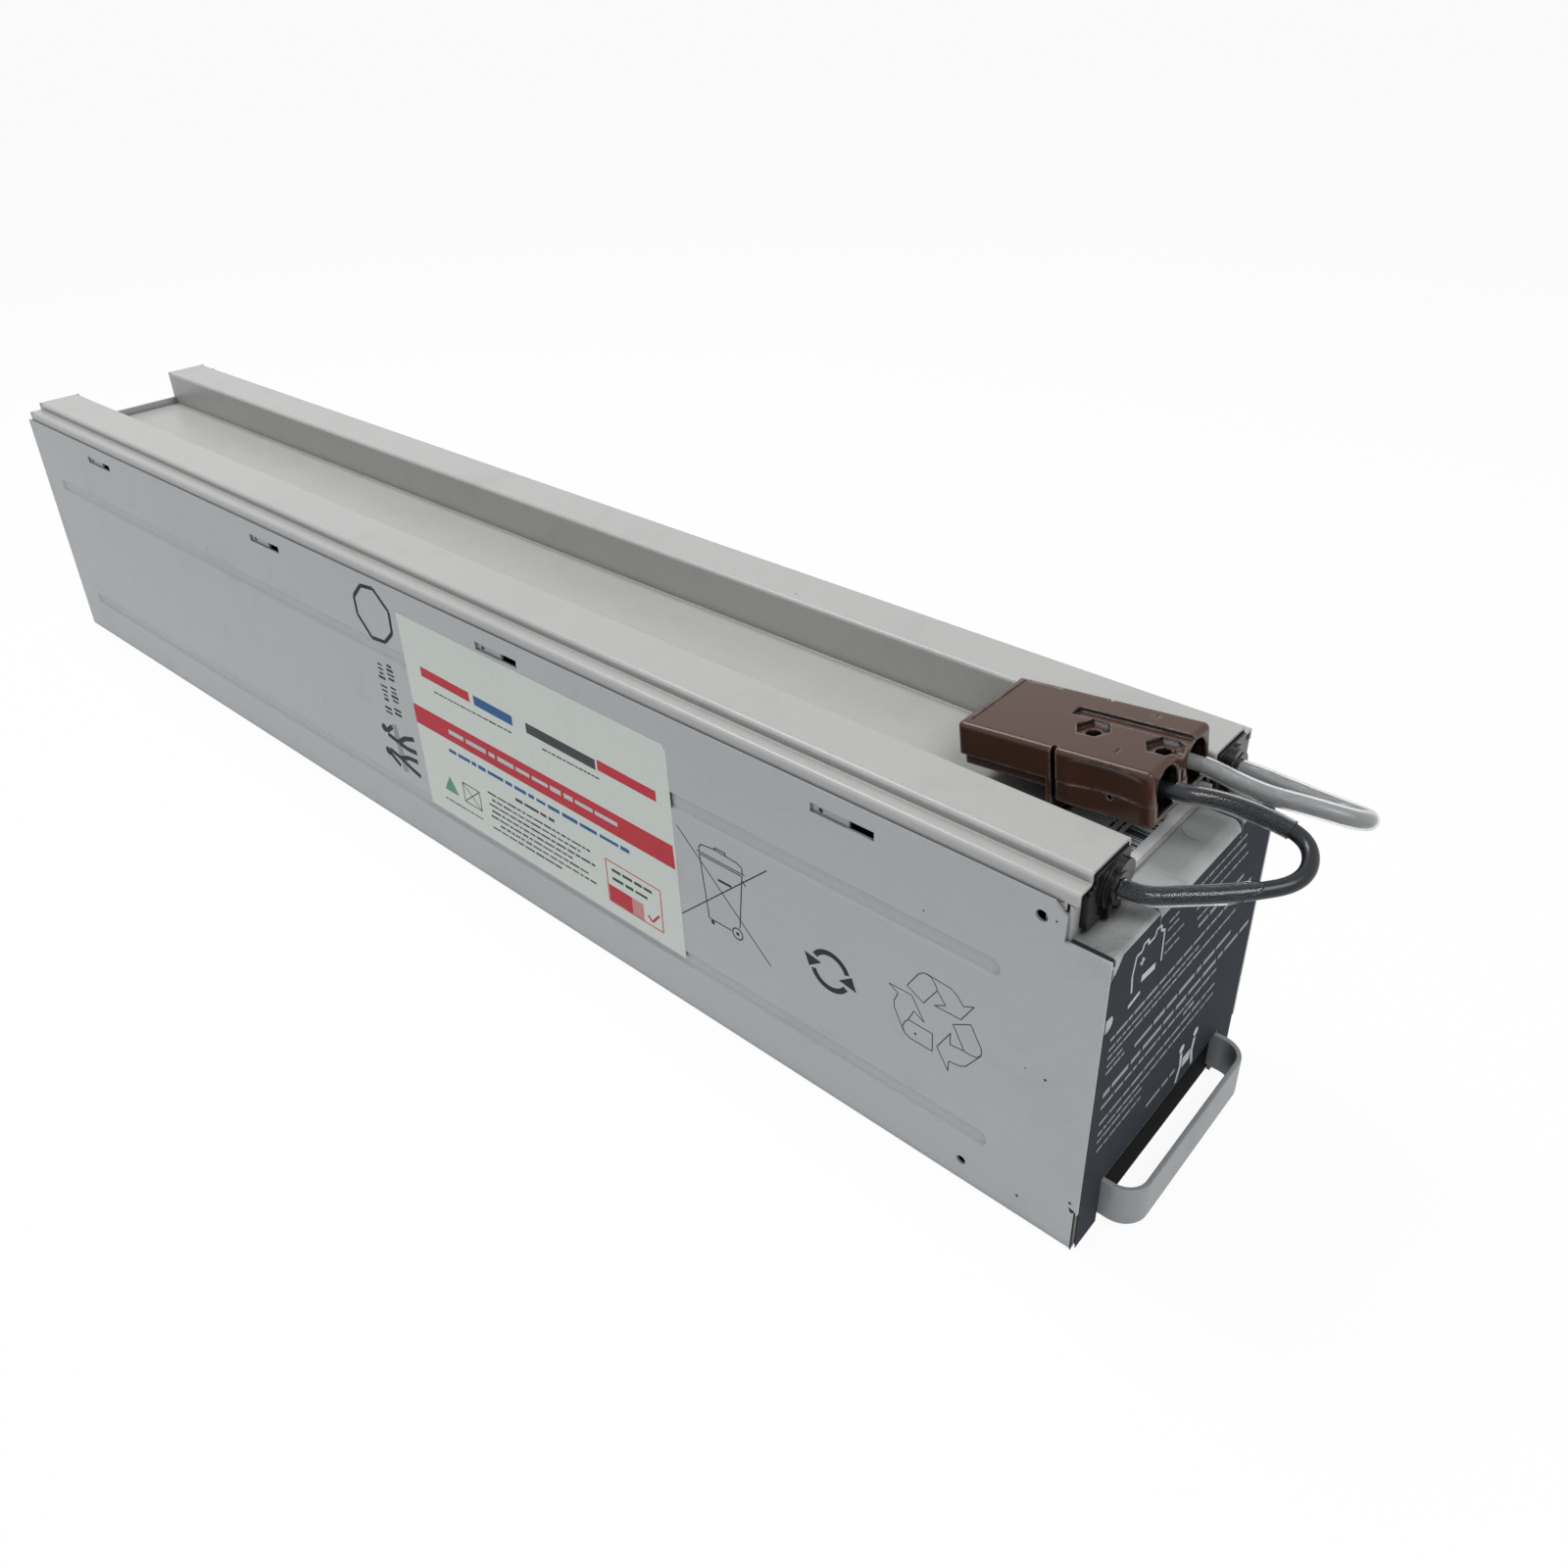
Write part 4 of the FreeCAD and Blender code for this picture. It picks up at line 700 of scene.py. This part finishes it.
printMarks("sticker_print", "sticker", "inkDark", stickerRows + [
    ("patch", [(217.6, 85.4), (182.6, 84.9), (182.6, 80.9), (217.6, 81.4)]),
    ("path", [(262.8, 41.7), (252.6, 41.5), (252.6, 32.9), (262.8, 33.1)], boxStroke, True),
    ("bar", (262.6, 41.5), (252.8, 33.1), boxStroke),  # the box's diagonals
    ("bar", (252.8, 41.3), (262.6, 33.3), boxStroke),
])
print("sticker printed")

# the dark front label: rows of small pale print, each with its ends, level and height
labelSpec = {
    "firstSeed": 40,
    "rows": (
        (-17.8, -12.5, 95.2, 1.4), (-18, -11.9, 92.6, 1.4), (-18.3, -7.9, 88.3, 1.4),
        (-17.8, -8.9, 84.8, 1.4), (-3.9, 28.4, 96.2, 1.5), (-1.6, 30.1, 92.4, 1.5),
        (-0.4, 31.8, 88.0, 1.5), (1.4, 12.3, 83.6, 1.5), (3.2, 32.7, 79.4, 2.6),
        (-43.8, 38.9, 74.2, 2.1), (-44.0, 8.1, 71.0, 1.6), (-44.0, 30.5, 68.2, 1.6),
        (-43.8, -34.6, 65.4, 1.4), (-43.8, -34.1, 62.9, 1.4), (-28, 30, 59.6, 3.0),
        (-43.5, 44.8, 54.0, 3.2), (-43.8, 23.8, 50.2, 2.0), (3.6, 10.0, 47.4, 2.2),
        (-43.4, 24.6, 44.0, 2.0), (-43.3, 26.4, 40.2, 1.6), (-43.1, -18.4, 37.2, 1.5),
        (-42.6, -18.2, 33.4, 1.5), (-13, 4.7, 24.6, 2.6),
    ),
}
labelRows = []
for index, (first, last, level, height) in enumerate(labelSpec["rows"]):
    labelRows.append(("row", (first, level), last, height, labelSpec["firstSeed"] + index))
printMarks("label_print", "label", "inkPale", labelRows)
# a battery outline, and two figures holding a box
signStroke = 0.6
figureStroke = 1.5
printMarks("label_symbols", "label", "inkWhite", [
    ("path", [(-35.3, 84.8), (-36.2, 90.9), (-35.2, 96.6), (-32.3, 96.4), (-31.8, 98.2), (-29.4, 98.2),
              (-29.0, 96.4), (-25.6, 96.6), (-25.2, 98.4), (-22.6, 98.2), (-22.2, 96.2), (-20.2, 95.2),
              (-19.4, 84.4)], 0.75),
    ("patch", [(-30.3, 87.0), (-22.8, 86.2), (-22.8, 84.0), (-30.3, 84.8)]),
    ("bar", (-32.6, 92.4), (-30.0, 92.4), signStroke),  # a plus sign
    ("bar", (-31.3, 91.1), (-31.3, 93.7), signStroke),
    ("bar", (-36.1, 80.6), (-30.1, 81.4), 1.2),
    ("disc", (7.6, 31.9), 1.5),  # heads, bodies and the box
    ("disc", (16.6, 31.9), 1.5),
    ("path", [(7.8, 29.8), (8.6, 24.6), (7.0, 18.6)], figureStroke),
    ("path", [(16.4, 29.8), (15.8, 24.6), (17.4, 18.6)], figureStroke),
    ("patch", [(9.8, 26.6), (14.6, 26.6), (14.6, 22.6), (9.8, 22.6)]),
])
print("front label printed")

# the channel note: bars of drawn widths and gaps, and two rows of print above them
noteSpec = {
    "seed": 9,
    "start": -19,
    "stop": 12,
    "foot": 16.0,
    "head": 21.8,
    "widths": (0.3, 0.45, 0.7, 0.9),
    "gaps": (0.45, 0.6, 0.8),
}
noteMarks = []
draw = random.Random(noteSpec["seed"])
across = noteSpec["start"]
while across < noteSpec["stop"]:
    width = draw.choice(noteSpec["widths"])
    noteMarks.append(("bar", (across, noteSpec["foot"]), (across, noteSpec["head"]), width))
    across += width / 2 + draw.choice(noteSpec["gaps"])
printMarks("note_bars", "note", "inkHeavy", noteMarks)
printMarks("note_rows", "note", "inkDark", [
    ("row", (-18, 22.8), 12, 1.4, 72),
    ("row", (-18, 25.2), 8, 1.4, 73),
])

# chips in the panel's paint
chipSpec = {
    "sides": 7,
    "places": [(53.2, 91.4, 0.3), (13.5, 56.6, 0.45), (54.2, 46.7, 0.45), (18.1, 8.4, 0.5),
               (15.0, 108.4, 0.3), (2.4, 18.1, 0.5), (1.7, 15.4, 0.7), (19.4, 56.9, 0.25)],
}
printMarks("panel_chips", "side", "chipDark",
           [("disc", (y, z), radius, chipSpec["sides"]) for y, z, radius in chipSpec["places"]])

# painted shadow in the gaps where the sheets meet, the front label's left margin, and a hair scratch on the
# flange
printMarks("panel_seam_shadow", "panelTop", "inkDark", [("bar", (-48.2, 14), (-48.2, 599), 0.26)])
printMarks("shelf_seam_shadow", "shelf", "inkHeavy",
           [("bar", (across, 0.8), (across, 12.5), 1.3) for across in (-47.5, 47.5)])
printMarks("label_seam_shadow", "label", "inkHeavy", [("bar", (-47.85, 1.0), (-47.85, 101), 0.3)])
printMarks("label_edge", "label", "charcoalLabel", [
    ("patch", [(-47.7, 0.6), (-45.5, 0.6), (-45.5, 79.5), (-47.7, 79.5)]),
    ("patch", [(-47.7, 84.5), (-45.5, 84.5), (-45.5, 98.2), (-46.6, 98.2), (-47.7, 95.5)]),
])
# painted shadow in the gap at the front corner of the side panel
cornerGap = 0.5
printMarks("corner_gap_shadow", "side", "inkHeavy", [
    ("bar", (0.7, 0.6), (0.7, 15.6), cornerGap),
    ("bar", (0.9, 15.6), (2.6, 16.2), cornerGap),
])
hairStroke = 0.12
printMarks("flange_hair", "flange", "chipDark", [
    ("path", [(9.6, 11.2), (8.2, 10.6), (6.9, 9.0), (6.2, 7.0), (6.6, 5.2)], hairStroke),
])
print("small marks laid")

# a white floor that keeps a faint shadow, under a pale sky
stageSpec = {
    "floorSize": 60.0,
    "floorColor": (0.93, 0.93, 0.93, 1),
    "floorRough": 0.9,
    "floorWhite": 0.93,
    "skyColor": (0.96, 0.98, 1, 1),
    "skyStrength": 0.4,
    "skyWhite": 1.0,
}
white = (1, 1, 1, 1)


# plain white for the rays that see the ground: straight from the camera, mirrored, or through the
# clear sleeves; share is how much of it they see, and the rest is the shaded ground
def addWhiteGround(tree, shaded, kind, share, surface):
    path = addNode(tree, "ShaderNodeLightPath", (-700, 300))
    seen = addMath(tree, "MAXIMUM", (-500, 500), path.outputs["Is Camera Ray"], path.outputs["Is Glossy Ray"])
    direct = addMath(tree, "MAXIMUM", (-300, 500), seen, path.outputs["Is Transmission Ray"])
    plain = addNode(tree, kind, (0, 300), Color=white, Strength=1.0)
    mix = addNode(tree, "ShaderNodeMixShader", (300, 200))
    tree.links.new(addMath(tree, "MULTIPLY", (-50, 500), direct, share), mix.inputs[0])
    tree.links.new(shaded.outputs[0], mix.inputs[1])
    tree.links.new(plain.outputs[0], mix.inputs[2])
    tree.links.new(mix.outputs[0], surface)


def makeFloor(spec):
    mesh = bpy.data.meshes.new("floor")
    built = bmesh.new()
    bmesh.ops.create_grid(built, x_segments=1, y_segments=1, size=spec["floorSize"] / 2)
    built.to_mesh(mesh)
    built.free()
    floor = bpy.data.objects.new("floor", mesh)
    bpy.context.scene.collection.objects.link(floor)
    material = bpy.data.materials.new("floorWhite")
    material.use_nodes = True
    nodes = material.node_tree.nodes
    shader = nodes["Principled BSDF"]
    shader.inputs["Base Color"].default_value = spec["floorColor"]
    shader.inputs["Roughness"].default_value = spec["floorRough"]
    addWhiteGround(material.node_tree, shader, "ShaderNodeEmission", spec["floorWhite"],
                   nodes["Material Output"].inputs["Surface"])
    mesh.materials.append(material)


def makeSky(spec):
    world = bpy.data.worlds.new("studioWorld")
    bpy.context.scene.world = world
    world.use_nodes = True
    nodes = world.node_tree.nodes
    shader = nodes["Background"]
    shader.inputs["Strength"].default_value = spec["skyStrength"]
    shader.inputs["Color"].default_value = spec["skyColor"]
    addWhiteGround(world.node_tree, shader, "ShaderNodeBackground", spec["skyWhite"],
                   nodes["World Output"].inputs["Surface"])


makeFloor(stageSpec)
makeSky(stageSpec)
lightSpec = [
    {"name": "keyLight", "place": (-0.35, -1.05, 1.35), "aim": (0, -0.25, 0.05), "size": 0.8, "power": 12.5},
    {"name": "topLight", "place": (-0.03, 0.4, 1.1), "aim": (0, -0.1, 0.1), "size": 0.4, "power": 6},
]


def makeLight(spec):
    data = bpy.data.lights.new(spec["name"], "AREA")
    data.shape = "SQUARE"
    data.size = spec["size"]
    data.energy = spec["power"]
    lamp = bpy.data.objects.new(spec["name"], data)
    lamp.location = spec["place"]
    aim = Vector(spec["aim"]) - Vector(spec["place"])
    lamp.rotation_euler = aim.to_track_quat("-Z", "Y").to_euler()
    bpy.context.scene.collection.objects.link(lamp)


for spec in lightSpec:
    makeLight(spec)
print("stage lit")
